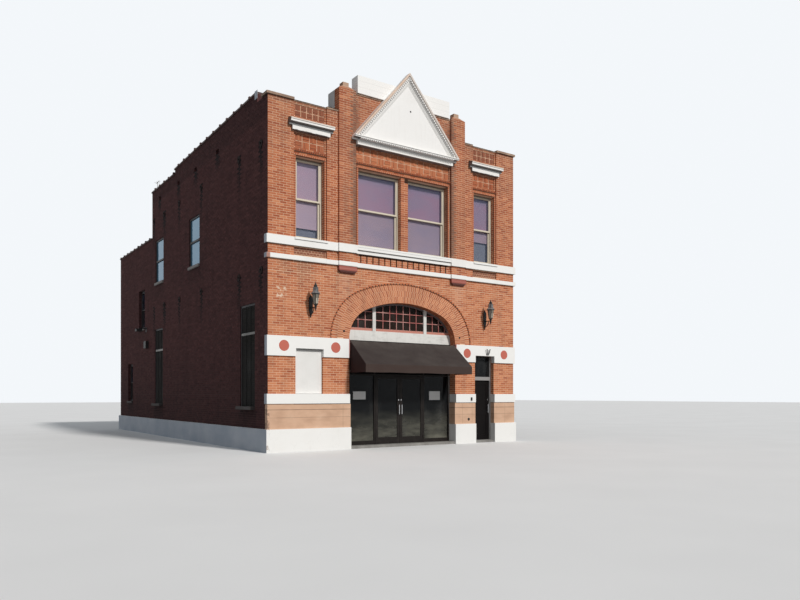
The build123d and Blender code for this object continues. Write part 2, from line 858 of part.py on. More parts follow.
def side_walls():
    """The long side walls of the main block, with their windows, vents and stepped tops."""
    holes = [window_hole(place, window) for place, window in main_side_windows]
    top = [
        (front_wall, 0),
        (main_depth, 0),
        (main_depth, side_parapet_low),
        (side_parapet_step, side_parapet_low),
        (side_parapet_step, side_parapet_high - side_parapet_fall),
        (side_parapet_front_run, side_parapet_high),
        (side_parapet_front_run, parapet_top),
        (front_wall, parapet_top),
    ]
    wall = along_x(top, -half_width, -wall_inside)
    for hole in holes:
        wall -= hole
    for place in (*vents_from_front, *(main_depth - way for way in vents_from_end)):
        wall -= block(
            -half_width - 1,
            -half_width + vent_depth,
            place - vent_width / 2,
            place + vent_width / 2,
            vent_level - vent_height / 2,
            vent_level + vent_height / 2,
        )
    save("left_wall", wall)
    save("right_wall", mirror(wall, about=Plane.YZ))

    out = half_width + tile_overhang
    inside = wall_inside - tile_overhang

    def cap(points):
        """A strip of coping tile that follows the wall's top."""
        upper = [(y, z + tile_height) for y, z in reversed(points)]
        return along_x(points + upper, -out, -inside)

    high_end = side_parapet_step + tile_overhang
    low_end = main_depth + tile_overhang
    fallen = side_parapet_high - side_parapet_fall
    high = cap([(side_parapet_front_run, side_parapet_high), (high_end, fallen)])
    low = cap([(high_end, side_parapet_low), (low_end, side_parapet_low)])
    rear = cap([(low_end, rear_parapet), (building_depth + tile_overhang, rear_parapet)])
    save("side_copings", *both_sides(high, low, rear))


def rear_block():
    """The lower block at the back, and the main block's own back wall."""
    back = block(-wall_inside, wall_inside, main_back_face, main_depth, 0, side_parapet_low)
    back -= block(-inner_door_half, inner_door_half, main_back_face - 1, main_depth + 1, -1, inner_door_head)
    save("main_back_wall", back)
    left = block(-half_width, -wall_inside, main_depth, building_depth, 0, rear_parapet)
    for place, window in rear_side_windows:
        left -= window_hole(place, window)
    end = block(-wall_inside, wall_inside, building_depth - side_wall, building_depth, 0, rear_parapet)
    for centre in (-back_window_centre, back_window_centre):
        for width, sill, height, _ in (landing_window, rear_low_window):
            end -= block(
                centre - width / 2, centre + width / 2, main_depth, building_depth + 1, sill, sill + height
            )
    save("rear_walls", fuse(*both_sides(left), end))


def side_windows():
    """The double-hung windows of the sides and back, with their glass and sills."""
    frames = []
    glass = []
    sills = []
    inner_face = side_frame_back + window_frame_depth
    for place, window in (*main_side_windows, *rear_side_windows):
        width, sill, height, share = window
        proud = tall_sill_proud if window is tall_window else side_sill_proud
        frame, panes = double_hung(width, height - side_sill_height, share)
        seat = Pos(-half_width + side_frame_back, place + width, sill + side_sill_height) * Rot(0, 0, -90)
        frames += both_sides(seat * frame)
        glass += both_sides(*[seat * piece for piece in panes])
        stone = block(
            -half_width - proud, -half_width + inner_face, place, place + width, sill, sill + side_sill_height
        )
        sills += both_sides(stone)
    for centre in (-back_window_centre, back_window_centre):
        for width, sill, height, share in (landing_window, rear_low_window):
            frame, panes = double_hung(width, height - side_sill_height, share)
            corner = Pos(centre + width / 2, building_depth - side_frame_back, sill + side_sill_height)
            seat = corner * Rot(0, 0, 180)
            frames.append(seat * frame)
            glass += [seat * piece for piece in panes]
            left, right = centre - width / 2, centre + width / 2
            back = building_depth + side_sill_proud
            sills.append(block(left, right, building_depth - inner_face, back, sill, sill + side_sill_height))
    save("side_window_frames", *frames)
    return glass, sills


def tie_plates():
    """The eight-sided iron plates on the outside of the side walls, each with the nut of its tie rod."""
    plate = extrude(RegularPolygon(plate_width / 2, 8), plate_thickness)
    nut = Pos(0, 0, plate_thickness) * extrude(RegularPolygon(plate_boss / 2, 6), plate_boss_proud)
    plate = Rot(0, -90, 0) * fuse(plate, nut)
    places = [*plates_from_front, *(main_depth - way for way in plates_from_end)]
    plates = []
    for place in places:
        plates += both_sides(Pos(-half_width, place, floor_plate_height) * plate)
    for place in (*places, main_depth - last_plate_from_end):
        plates += both_sides(Pos(-half_width, place, roof_plate_height) * plate)
    save("tie_plates", *plates)


def storefront():
    """The metal frame that closes the arch below the fanlight, and its glass."""
    face = storefront_setback
    back = storefront_back
    top = spring
    outline = block(-stone_jamb, stone_jamb, face, back, ground_slab, top)
    light_left = -stone_jamb + mullion_face
    light_right = -entrance_half - mullion_face
    low = ground_slab + sidelight_sill
    transom_top = transom_bottom + transom_height
    head = top - mullion_face
    holes = both_sides(
        block(light_left, light_right, face - 1, back + 1, low, transom_bottom),
        block(light_left, light_right, face - 1, back + 1, transom_top, head),
    )
    doorway = block(-entrance_half, entrance_half, face - 1, back + 1, ground_slab - 1, transom_bottom)
    over_doors = block(-entrance_half, entrance_half, face - 1, back + 1, transom_top, head)
    frame = outline
    for hole in (*holes, doorway, over_doors):
        frame -= hole
    side_gap = arch_half_span - stone_jamb
    jamb_fillers = both_sides(
        block(-arch_half_span, -arch_half_span + side_gap, face, back, stone_top, top)
    )
    middle = (face + back) / 2
    glass_back = middle + glass_thickness
    glass = both_sides(
        block(light_left, light_right, middle, glass_back, low, transom_bottom),
        block(light_left, light_right, middle, glass_back, transom_top, head),
    )
    glass.append(block(-entrance_half, entrance_half, middle, glass_back, transom_top, head))
    hinge_x = entrance_half - door_gap / 2
    hinges = both_sides(*knuckles(hinge_x, face, -1, hinge_levels(leaf_bottom, leaf_top), hinge_flap, False))
    return fuse(frame, *jamb_fillers, *hinges), glass


def side_door_frame():
    """The side door's frame with its transom light."""
    face = side_frame_setback
    back = face + side_frame_depth
    width = side_frame_width
    leaf_head = ground_slab + door_foot_gap + side_leaf_height + door_foot_gap
    frame = block(side_door_left, side_door_right, face, back, ground_slab, lower_opening_head)
    inner = (side_door_left + width, side_door_right - width)
    frame -= block(*inner, face - 1, back + 1, ground_slab - 1, leaf_head)
    light_low = leaf_head + side_transom_height
    light_high = lower_opening_head - width
    frame -= block(*inner, face - 1, back + 1, light_low, light_high)
    hinge_x = inner[0] + side_leaf_gap / 2
    low = ground_slab + door_foot_gap
    levels = hinge_levels(low, low + side_leaf_height)
    frame = fuse(frame, *knuckles(hinge_x, back, 1, levels, -hinge_flap, False))
    middle = (face + back) / 2
    return frame, block(*inner, middle, middle + glass_thickness, light_low, light_high)


def hinge_levels(low, high):
    """The heights of the three hinges of a leaf, each at the joint between its two knuckles."""
    return low + hinge_inset, (low + high) / 2, high - hinge_inset


def knuckles(x, face, out, levels, flap, over):
    """Hinge knuckles on an axis off a face, with flaps towards x + flap; over is True for the leaf's own."""
    axis_y = face + out * hinge_off_face
    rise = knuckle_gap if over else -knuckle_length
    pieces = []
    for level in levels:
        low = level + rise
        pieces.append(Pos(x, axis_y, low) * rod(knuckle_radius, knuckle_length, 8))
        flap_x = sorted((x, x + flap))
        flap_y = sorted((face, axis_y))
        pieces.append(block(*flap_x, *flap_y, low, low + knuckle_length))
    return pieces


def handle(x, face):
    """An upright pull on its two posts, and the lock over it, on a door's street face."""
    bar = Pos(x, face - pull_standoff, pull_bottom) * rod(pull_radius, pull_length, 12)
    post = Rot(90, 0, 0) * rod(pull_post_radius, pull_standoff, 8)
    levels = (pull_bottom + pull_post_inset, pull_bottom + pull_length - pull_post_inset)
    lock_level = pull_bottom + pull_length + lock_above_pull
    lock = Pos(x, face, lock_level) * Rot(90, 0, 0) * rod(lock_radius, lock_proud, 12)
    return fuse(bar, *[Pos(x, face, level) * post for level in levels]), lock


def entrance_leaf(side):
    """One leaf of the entrance with its glass and its pull; side is -1 for left and 1 for right."""
    face = storefront_setback
    outer = entrance_half - door_gap
    inner = door_meeting_gap / 2
    leaf = block(inner, outer, face, face + leaf_thickness, leaf_bottom, leaf_top)
    light = (inner + stile_width, outer - stile_width)
    light_low = leaf_bottom + bottom_rail
    light_high = leaf_top - top_rail
    leaf -= block(*light, face - 1, face + leaf_thickness + 1, light_low, light_high)
    hinge_x = entrance_half - door_gap / 2
    leaf = fuse(leaf, *knuckles(hinge_x, face, -1, hinge_levels(leaf_bottom, leaf_top), -hinge_flap, True))
    middle = face + leaf_thickness / 2
    glass = block(*light, middle - glass_thickness / 2, middle + glass_thickness / 2, light_low, light_high)
    pull, lock = handle(inner + pull_offset, face)
    pieces = [leaf, glass, Compound([*pull.solids(), *lock.solids()])]
    if side < 0:
        pieces = [mirror(piece, about=Plane.YZ) for piece in pieces]
    return pieces


def entrance_doors():
    """Both entrance leaves."""
    for name, side in (("left", -1), ("right", 1)):
        leaf, glass, pull = entrance_leaf(side)
        save(f"entrance_door_{name}", leaf)
        save(f"entrance_glass_{name}", glass)
        save(f"entrance_pull_{name}", pull)


def side_door():
    """The side door's leaf, with its two sunk panels, and its handle."""
    left = side_door_left + side_frame_width + side_leaf_gap
    right = side_door_right - side_frame_width - side_leaf_gap
    back = side_frame_setback + side_frame_depth
    face = back - leaf_thickness
    low = ground_slab + door_foot_gap
    leaf = block(left, right, face, back, low, low + side_leaf_height)
    level = low
    for rail, height in side_panels:
        level += rail
        sides = (left + side_panel_margin, right - side_panel_margin)
        leaf -= block(*sides, face - 1, face + side_panel_depth, level, level + height)
        level += height
    hinge_x = left - side_leaf_gap / 2
    levels = hinge_levels(low, low + side_leaf_height)
    save("side_door", fuse(leaf, *knuckles(hinge_x, back, 1, levels, hinge_flap, True)))
    save("side_door_pull", *handle(right - side_panel_margin / 2, face))


def fanlight():
    """The arched light over the entrance: beam, posts, rim, rails and bars."""
    inner = arch_face(arch_half_span, arch_rise, arch_corner_radius)
    trimmed = arch_face(arch_half_span - fan_trim, arch_rise - fan_trim, arch_corner_radius - fan_trim)
    face = fan_setback
    back = face + fan_depth
    crown = spring + arch_rise
    beam_top = spring + fan_beam_height
    lunette = along_y(inner, face, back)
    rim = lunette - along_y(trimmed, face - 1, back + 1)
    beam = block(-arch_half_span, arch_half_span, face, back, spring, beam_top)
    half_post = fan_post_width / 2
    post_outer = fan_post_centre + half_post
    posts = both_sides(block(fan_post_centre - half_post, post_outer, face, back, beam_top, crown))
    rail_face = face + fan_rail_setback
    rail_top = beam_top + fan_rail
    rail = block(-arch_half_span, arch_half_span, rail_face, rail_face + fan_rail_depth, beam_top, rail_top)
    save("fanlight_frame", fuse(rim, *[part & lunette for part in (beam, *posts, rail)]))

    bar_face = face + fan_bar_setback
    bar_back = bar_face + fan_bar_depth
    middle_places = [(step - fan_middle_panes / 2) * fan_pane for step in range(1, fan_middle_panes)]
    side_places = [post_outer + step * fan_pane for step in range(1, fan_side_panes)]
    bars = []
    for x in (*middle_places, *side_places, *(-place for place in side_places)):
        bars.append(block(x - fan_bar / 2, x + fan_bar / 2, bar_face, bar_back, rail_top, crown))
    for step in range(1, fan_rows):
        low = rail_top + step * fan_pane - fan_bar / 2
        bars.append(block(-arch_half_span, arch_half_span, bar_face, bar_back, low, low + fan_bar))
    grid = fuse(*bars) & along_y(trimmed, bar_face, bar_back)
    glass = along_y(trimmed, bar_back, bar_back + glass_thickness)
    glass -= block(-arch_half_span, arch_half_span, 0, front_wall, 0, rail_top)
    for post in posts:
        grid -= post
        glass -= post
    save("fanlight_bars", *grid.solids())
    return glass.solids()


def under_cloth(distance, depth):
    """The height of the line that lies a depth square below the cloth's top, a distance out from the wall."""
    lean = (awning_top - awning_front_top) / (awning_reach - awning_cloth)
    return awning_top - (distance - awning_cloth) * lean - depth * hypot(1, lean)


def awning():
    """The cloth awning with closed ends, open below and behind."""
    front = awning_reach - awning_cloth
    outer = [
        (-awning_cloth, awning_top),
        (-awning_reach, awning_front_top),
        (-awning_reach, awning_bottom),
        (-awning_cloth, awning_bottom),
    ]
    inner = [
        (1, under_cloth(-1, awning_cloth)),
        (-front, under_cloth(front, awning_cloth)),
        (-front, awning_bottom - 1),
        (1, awning_bottom - 1),
    ]
    shell = along_x(outer, -awning_half, awning_half)
    shell -= along_x(inner, -awning_half + awning_cloth, awning_half - awning_cloth)
    save("awning", shell)


def awning_frame():
    """The tubes inside the awning: two rails across the doorway, a front rail, rafters, posts and arms."""
    gap = awning_clearance
    tube = awning_tube
    end = awning_half - awning_cloth - gap
    front = awning_reach - awning_cloth - gap
    depth = awning_cloth + gap
    low = awning_bottom + awning_arm_rise
    wall_rail_top = under_cloth(0, depth) - tube - gap
    rails = [
        block(-arch_half_span, arch_half_span, 0, tube, low, low + tube),
        block(-arch_half_span, arch_half_span, 0, tube, wall_rail_top - tube, wall_rail_top),
        block(-end, end, -front, -front + tube, low, low + tube),
    ]
    fold = under_cloth(front, depth)
    behind = under_cloth(front - tube, depth)
    top = under_cloth(gap, depth)
    rafter = [(-front, fold), (-gap, top), (-gap, top - tube), (-front, fold - tube)]
    post_low = low + tube + gap
    back = -front + tube
    post = [(-front, post_low), (back, post_low), (back, behind - tube), (-front, fold - tube)]
    bars = []
    for x in (-end + tube / 2, -end / 2, 0, end / 2, end - tube / 2):
        sides = (x - tube / 2, x + tube / 2)
        bars += [along_x(rafter, *sides), along_x(post, *sides)]
        bars.append(block(*sides, back + gap, -gap, low, low + tube))
    save("awning_frame", *rails, *bars)


def lantern():
    """One six-sided lantern with its wall plate, arm and curved brace, at the right of the arch."""
    body_top = lantern_body_bottom + lantern_body_height
    brim_low = body_top + lantern_brim_edge
    brim_top = brim_low + lantern_brim_height
    drum_top = brim_top + lantern_drum_height
    cap_top = drum_top + lantern_cap_height
    tip, tail = lantern_tip_radius, lantern_tail_radius
    brim, drum, cap = lantern_brim_radius, lantern_drum_radius, lantern_cap_radius
    outlines = (
        (lantern_body_bottom - lantern_tail, tip, lantern_body_bottom, tail),
        (lantern_body_bottom, lantern_body_foot, body_top, lantern_body_shoulder),
        (body_top, brim, brim_low, brim),
        (brim_low, brim, brim_top, drum),
        (brim_top, drum, drum_top, drum),
        (drum_top, cap, cap_top, cap * 0.8),
        (cap_top, tip * 2.5, cap_top + lantern_finial, tip * 0.5),
    )
    head = []
    for low, low_radius, high, high_radius in outlines:
        low_ring = ring_of(low_radius, 6, low, -lantern_reach)
        head.append(tapered(low_ring, ring_of(high_radius, 6, high, -lantern_reach)))
    arm_z = lantern_body_bottom - lantern_arm_drop
    arm = rod(lantern_arm_radius, lantern_reach - lantern_plate_thickness, 8)
    arm = Pos(0, -lantern_plate_thickness, arm_z) * Rot(90, 0, 0) * arm
    half = lantern_plate_width / 2
    low = arm_z - lantern_plate_below
    high = low + lantern_plate_height
    point = lantern_plate_point
    edges = [(0, low), (half, low + point), (half, high - point / 2), (0, high)]
    outline = edges + [(-x, z) for x, z in edges[-2:0:-1]]
    plate = along_y(outline, -lantern_plate_thickness, 0)
    reach = lantern_brace_radius
    quarter = Circle(reach) - Circle(reach - lantern_brace_width)
    quarter &= Pos(reach / 2, -reach / 2) * Rectangle(reach, reach)
    foot = (lantern_arm_radius / 2, -lantern_plate_thickness, arm_z)
    brace = extrude(Plane(origin=foot, x_dir=(0, -1, 0), z_dir=(-1, 0, 0)) * quarter, lantern_arm_radius)
    return Pos(lantern_place, 0, 0) * fuse(*head, arm, plate, brace)


def wall_lights():
    """The two lanterns on the front, and the bracket light and meter box on the rear block."""
    face = -half_width
    y = main_depth + bracket_from_main
    half_plate = bracket_plate / 2
    plate_back = face - bracket_plate_thickness
    plate = block(
        plate_back, face, y - half_plate, y + half_plate, bracket_level, bracket_level + bracket_plate_height
    )
    arm_low = bracket_level + bracket_arm_level
    half_arm = bracket_arm / 2
    arm = block(face - bracket_reach, plate_back, y - half_arm, y + half_arm, arm_low, arm_low + bracket_arm)
    foot, top = bracket_hood_width / 2, bracket_hood_top / 2
    hood_low = arm_low - bracket_hood_height
    hood_end = face - bracket_reach - bracket_hood_length / 2
    hood = along_x(
        [(y - foot, hood_low), (y + foot, hood_low), (y + top, arm_low), (y - top, arm_low)],
        hood_end,
        hood_end + bracket_hood_length,
    )
    box_y = main_depth + meter_box_from_main
    meter_box = block(
        face - meter_box_depth,
        face,
        box_y,
        box_y + meter_box_width,
        meter_box_level,
        meter_box_level + meter_box_height,
    )
    save("wall_lights", *both_sides(lantern()), fuse(plate, arm, hood), meter_box)


main_side_windows = (
    (front_tall_place, tall_window),
    (back_tall_place, tall_window),
    (front_upper_place, upper_window),
    (back_upper_place, upper_window),
)
rear_side_windows = ((landing_place, landing_window), (rear_low_place, rear_low_window))

os.makedirs("parts", exist_ok=True)
ground_floor()
floors_and_roofs()
courses, sill_lengths = ground_courses()
lower_front(courses, sill_lengths)
arch()
thin_belt, upper_belt = belts()
frieze(thin_belt, upper_belt)
corbels()
bay_walls()
centre_wall()
pilasters()
screen()
gable()
bay_cornices()
side_walls()
rear_block()
tie_plates()
store_frame, store_glass = storefront()
door_frame, door_glass = side_door_frame()
save("doorway_frames", store_frame, door_frame)
fan_glass = fanlight()
save("lower_glass", *store_glass, door_glass, *fan_glass)
side_glass, side_sills = side_windows()
save("window_glass", *upper_windows(), *side_glass)
save("sills_and_copings", *side_sills, *front_copings())
entrance_doors()
side_door()
awning()
awning_frame()
wall_lights()
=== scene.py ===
import math
import random

import bmesh
import bpy
import numpy as np
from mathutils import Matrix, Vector


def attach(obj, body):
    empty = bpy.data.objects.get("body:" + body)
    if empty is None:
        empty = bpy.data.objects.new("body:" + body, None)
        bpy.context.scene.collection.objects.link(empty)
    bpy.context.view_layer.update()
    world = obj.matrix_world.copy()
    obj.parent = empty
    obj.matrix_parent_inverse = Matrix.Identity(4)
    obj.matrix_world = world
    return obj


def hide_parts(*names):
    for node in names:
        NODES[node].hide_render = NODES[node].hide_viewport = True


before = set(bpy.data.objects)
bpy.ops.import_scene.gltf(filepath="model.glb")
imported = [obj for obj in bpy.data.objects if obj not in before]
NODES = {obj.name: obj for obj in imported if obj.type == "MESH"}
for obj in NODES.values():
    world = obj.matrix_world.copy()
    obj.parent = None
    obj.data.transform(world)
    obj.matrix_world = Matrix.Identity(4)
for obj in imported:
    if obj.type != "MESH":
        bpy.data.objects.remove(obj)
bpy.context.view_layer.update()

# Sizes shared with the solid model, in metres
HALF, MAIN_DEPTH, DEPTH = 4.62, 11.5, 16.9
BASE, PIER_BRICK_LOW, BAND_LOW, SPRING = 0.65, 1.64, 2.705, 3.27
BELT, FRIEZE, UPPER_BELT, SILL, HEAD = 5.42, 5.55, 5.83, 6.07, 8.4
PARAPET = 9.95
ROLL = 0.076  # width of the rolled brick round the upper windows
PIER_IN, PIER_OUT, PIER_TOP, PIER_FACE = 1.82, 2.39, 10.67, -0.057
BAY_IN, BAY_OUT, BAY_FACE = 2.77, 3.83, 0.05
BAY_LIGHT = (2.85, 3.75)
CENTRE_FACE, CENTRE_TOP = 0.02, 10.6
MULLION, MULLION_FACE, CENTRE_LIGHT = 0.135, 0.03, 1.7
LABEL = (8.53, 8.59)
BASKET, BASKET_HALF, BASKET_EDGE = (8.65, 9.05), 1.76, 0.06
HIGH_PANEL = (9.53, 9.88)
PANEL_SET = 0.025
CORNICE = (9.1, 9.45)
GABLE_EAVE, GABLE_TIP, GABLE_HALF = 9.3, 11.6, 1.965
RAKE_LENGTH = math.hypot(GABLE_TIP - GABLE_EAVE, GABLE_HALF)
SIDE_TOP, SIDE_LOW, SIDE_STEP, SIDE_START, SIDE_FALL = 10.2, 9.88, 8.44, 0.73, 0.16
REAR_TOP = 8.0
SLOT_PITCH, SLOT_COUNT, SLOT_HALF, SLOT_FOOT = 0.2155, 16, 0.019, 5.57
BOARD = (-3.78, -2.9, 1.64, 2.93)
DOORWAY = (2.87, 3.71)
LANTERN_X, LANTERN_Y = 3.3, -0.31
SIDE_WINDOWS = (  # place along the wall, width, sill height, height
    (0.9, 1.11, 1.18, 3.08),
    (10.02, 1.11, 1.18, 3.08),
    (5.68, 1.11, 6.03, 1.8),
    (9.93, 1.11, 6.03, 1.8),
    (12.65, 0.96, 4.37, 1.72),
    (14.65, 0.86, 1.25, 1.75),
)
VENTS = (3.94, 6.09, 8.01, 10.4)
PLATES = (0.44, 2.09, 5.5, 7.9, 9.8)
PLATE_LEVELS = (5.13, 8.69)

# Brick sizes, in metres
COURSE, LENGTH, JOINT = 0.0677, 0.213, 0.012
PROUD, SEAT = 0.004, 0.001  # how far a brick stands out of the wall and goes into it
SLIVER = 0.012  # a lower strip than this is left as mortar
ON_END = 0.0705  # pitch of bricks that stand on end
TONE_SPREAD, BURNT_SHARE, BURNT = 0.24, 0.06, 0.35  # scatter of tones, and the odd over-burnt brick
UNEVEN = 0.0007  # how far single bricks stand out or in
END_PIECE = 0.045  # a shorter end is laid as one brick with its neighbour
GAP_LEFT, BRICK_LEFT = 0.03, 0.02  # a narrower gap gets no brick, and a shorter brick isn't laid
POINT = 0.002  # half of the least width that a cut brick keeps at its point

# Values shared by the finishes
NOISE_ROUGHNESS = 0.55
TOWARDS = 0.7  # least part of a normal along an axis for a face that looks that way
FANLIGHT_POSTS = (0.917, 1.033)


class Finish:
    """A procedural material: a Principled shader with a few noise helpers on object coordinates."""

    def __init__(self, name, roughness, gloss=0.5, **constants):
        self.material = bpy.data.materials.new(name)
        self.material.use_nodes = True
        self.tree = self.material.node_tree
        self.shader = self.tree.nodes["Principled BSDF"]
        self.shader.inputs["Roughness"].default_value = roughness
        self.shader.inputs["Specular IOR Level"].default_value = gloss
        for key, value in constants.items():
            self.shader.inputs[key].default_value = value
        self.place = self.tree.nodes.new("ShaderNodeTexCoord").outputs["Object"]

    def node(self, kind, settings=(), **inputs):
        """A shader node with its settings and inputs; i0, i1 and so on are inputs by number."""
        made = self.tree.nodes.new("ShaderNode" + kind)
        for key, value in settings:
            setattr(made, key, value)
        for key, value in inputs.items():
            self.plug(value, made.inputs[int(key[1:]) if key[1:].isdigit() else key])
        return made

    def plug(self, value, socket):
        """A link from a socket, or a constant, into a socket."""
        if isinstance(value, bpy.types.NodeSocket):
            self.tree.links.new(value, socket)
        elif isinstance(value, tuple) and len(value) == 3 and socket.type == "RGBA":
            socket.default_value = (*value, 1)
        else:
            socket.default_value = value

    def noise(self, scale, detail, stretch=(1, 1, 1)):
        where = self.node("Mapping", Vector=self.place, Scale=stretch).outputs[0]
        return self.node("TexNoise", Vector=where, Scale=scale, Detail=detail,
                         Roughness=NOISE_ROUGHNESS).outputs["Fac"]

    def ramp(self, value, *stops):
        """Colours or shares between stops of (place, colour or share)."""
        made = self.node("ValToRGB", Fac=value)
        elements = made.color_ramp.elements
        while len(elements) < len(stops):
            elements.new(0.5)
        for element, (at, colour) in zip(elements, stops):
            element.position = at
            element.color = (*colour, 1) if isinstance(colour, tuple) else (colour, colour, colour, 1)
        return made.outputs["Color"]

    def patchy(self, scale, detail, *stops, stretch=(1, 1, 1)):
        """Noise sharpened into patches by the stops of a ramp."""
        return self.ramp(self.noise(scale, detail, stretch), *stops)

    def math(self, kind, a, b=0.0, clamp=False):
        return self.node("Math", [("operation", kind), ("use_clamp", clamp)], i0=a, i1=b).outputs[0]

    def product(self, first, *others):
        for other in others:
            first = self.math("MULTIPLY", first, other)
        return first

    def plus(self, first, *others):
        """A sum held between 0 and 1."""
        for other in others:
            first = self.math("ADD", first, other, True)
        return first

    def less(self, value):
        """What is left of 1."""
        return self.math("SUBTRACT", 1.0, value)

    def mix(self, factor, a, b):
        made = self.node("Mix", [("data_type", "RGBA")])
        for place, value in ((0, factor), (6, a), (7, b)):
            self.plug(value, made.inputs[place])
        return made.outputs[2]

    def over(self, colour, tint, *masks):
        """A tint laid over a colour where all the masks let it through."""
        return self.mix(self.product(*masks), colour, tint)

    def axis(self, which):
        return self.node("SeparateXYZ", i0=self.place).outputs[which]

    def normal(self, which):
        geometry = self.node("NewGeometry")
        return self.node("SeparateXYZ", i0=geometry.outputs["Normal"]).outputs[which]

    def step(self, value, low, high):
        """0 at low to 1 at high."""
        return self.node("MapRange", [("clamp", True)], i0=value, i1=low, i2=high, i3=0.0, i4=1.0).outputs[0]

    def between(self, value, low, high, soft):
        """1 where the value lies from low to high, falling softly to 0 outside."""
        return self.product(self.step(value, low - soft, low + soft),
                            self.step(value, high + soft, high - soft))

    def zone(self, *, soft, x=None, across=None, y=None, z=None):
        """1 inside a box with soft edges; across limits the distance from the middle of the front."""
        mask = 1.0
        for which, limits, mirrored in ((0, x, False), (0, across, True), (1, y, False), (2, z, False)):
            if limits is None:
                continue
            place = self.axis(which)
            if mirrored:
                place = self.math("ABSOLUTE", place)
            mask = self.product(self.between(place, *limits, soft), mask)
        return mask

    def facing(self, which, least):
        """1 on faces whose normal along an axis is over least, or under it where least is negative."""
        return self.math("LESS_THAN" if least < 0 else "GREATER_THAN", self.normal(which), least)

    def sideways(self):
        """1 on faces towards the left or the right."""
        return self.math("GREATER_THAN", self.math("ABSOLUTE", self.normal(0)), TOWARDS)

    def attribute(self, name):
        return self.node("Attribute", [("attribute_name", name)]).outputs["Fac"]

    def bump(self, height, strength, distance):
        made = self.node("Bump", Strength=strength, Distance=distance, Height=height)
        self.tree.links.new(made.outputs[0], self.shader.inputs["Normal"])

    def colour(self, value):
        self.plug(value, self.shader.inputs["Base Color"])

    def rough(self, value, low, high):
        made = self.node("MapRange", [("clamp", True)], i0=value, i1=0.3, i2=0.7, i3=low, i4=high)
        self.tree.links.new(made.outputs[0], self.shader.inputs["Roughness"])


def paint(name, clean, soiled, rough, speckle, patches, runs=0.0, bump=0.15, under=None, layers=(),
          steep=-0.25, gloss=0.4):
    """Aged paint: clean colour, soiled patches, faint runs, painted shade with some dirt on faces that look
    down, and layers of local wear.
    """
    f = Finish(name, rough, gloss)
    broad = f.noise(1.1, 5.0)
    dirt = f.product(f.ramp(broad, (0.5, 0.0), (0.75, 1.0)), patches)
    if runs:
        streaks = f.patchy(2.2, 4.0, (0.5, 0.0), (0.72, 1.0), stretch=(5.0, 5.0, 0.5))
        dirt = f.plus(dirt, f.product(streaks, runs))
    colour = f.mix(dirt, clean, soiled)
    colour = f.over(colour, soiled, f.patchy(38.0, 2.0, (0.45, 0.0), (0.65, 1.0)), speckle)
    # Painted shade with some dirt on faces that look down more steeply than steep
    if under:
        colour = f.over(colour, under, f.facing(2, steep), 0.85)
    for layer in layers:
        colour = layer(f, colour)
    f.colour(colour)
    f.rough(broad, rough * 0.85, min(1.0, rough * 1.25))
    f.bump(f.noise(160.0, 2.0), bump, 0.0006)
    return f.material


def grimy(f, colour, soot):
    """Broad clouds of soot, and runs down the wall."""
    runs = f.patchy(1.1, 5.0, (0.5, 0.0), (0.78, 1.0), stretch=(3.2, 3.2, 0.5))
    broad = f.patchy(0.35, 3.0, (0.45, 0.0), (0.75, 1.0))
    return f.mix(f.plus(f.product(runs, 0.3), f.product(broad, 0.15)), colour, soot)


def soiled_brick(f, colour, soot, pale):
    """Each brick's own share of soot, or of pale smears where it is below zero, broken up by noise."""
    soil = f.attribute("soil")
    uneven = f.math("ADD", f.noise(5.0, 4.0), 0.5)
    sooty = f.math("MULTIPLY", soil, uneven, True)
    smeared = f.math("MULTIPLY", f.product(soil, -1.0), uneven, True)
    return f.mix(smeared, f.mix(sooty, colour, soot), pale)


# Near-black colour for painted shade and shadow
PAINTED_SHADE = (0.02, 0.014, 0.012)


def painted_shade_places(f, half):
    """Painted shadow in the gap under the upper belt, and painted shade in the hole of a broken brick at the
    top of the mullion.
    """
    gap = f.zone(across=(-1, half), y=(-0.3, 0.3), z=(UPPER_BELT - 0.055, UPPER_BELT + 0.01), soft=0.006)
    broken_hole_shade = f.zone(x=(0.0, 0.15), y=(-0.3, 0.4), z=(8.255, 8.395), soft=0.008)
    return f.math("MAXIMUM", f.product(gap, 0.85), f.product(broken_hole_shade, 0.93))


def face_brick(name, tones):
    """Fired brick on the pieces that are laid brick by brick."""
    f = Finish(name, 0.9, 0.1)
    grit = f.noise(70.0, 4.0)
    mixed = f.plus(f.attribute("tone"), f.product(f.math("SUBTRACT", grit, 0.5), 0.5))
    colour = f.ramp(mixed, (0.0, tones["dark"]), (0.5, tones["mid"]), (1.0, tones["light"]))
    colour = soiled_brick(f, grimy(f, colour, tones["soot"]), tones["soot"], tones["pale"])
    # Painted shadow under the upper belt and painted shade in the mullion's broken brick
    colour = f.over(colour, PAINTED_SHADE, painted_shade_places(f, 1.72))
    colour = f.over(colour, (0.76, 0.6, 0.47),
                    f.zone(x=(-4.36, -4.08), y=(-1, 0.02), z=(4.34, 4.64), soft=0.02),
                    f.patchy(9.0, 3.0, (0.53, 0.0), (0.57, 1.0)), 0.9)
    f.colour(colour)
    f.bump(grit, 0.5, 0.0015)
    return f.material


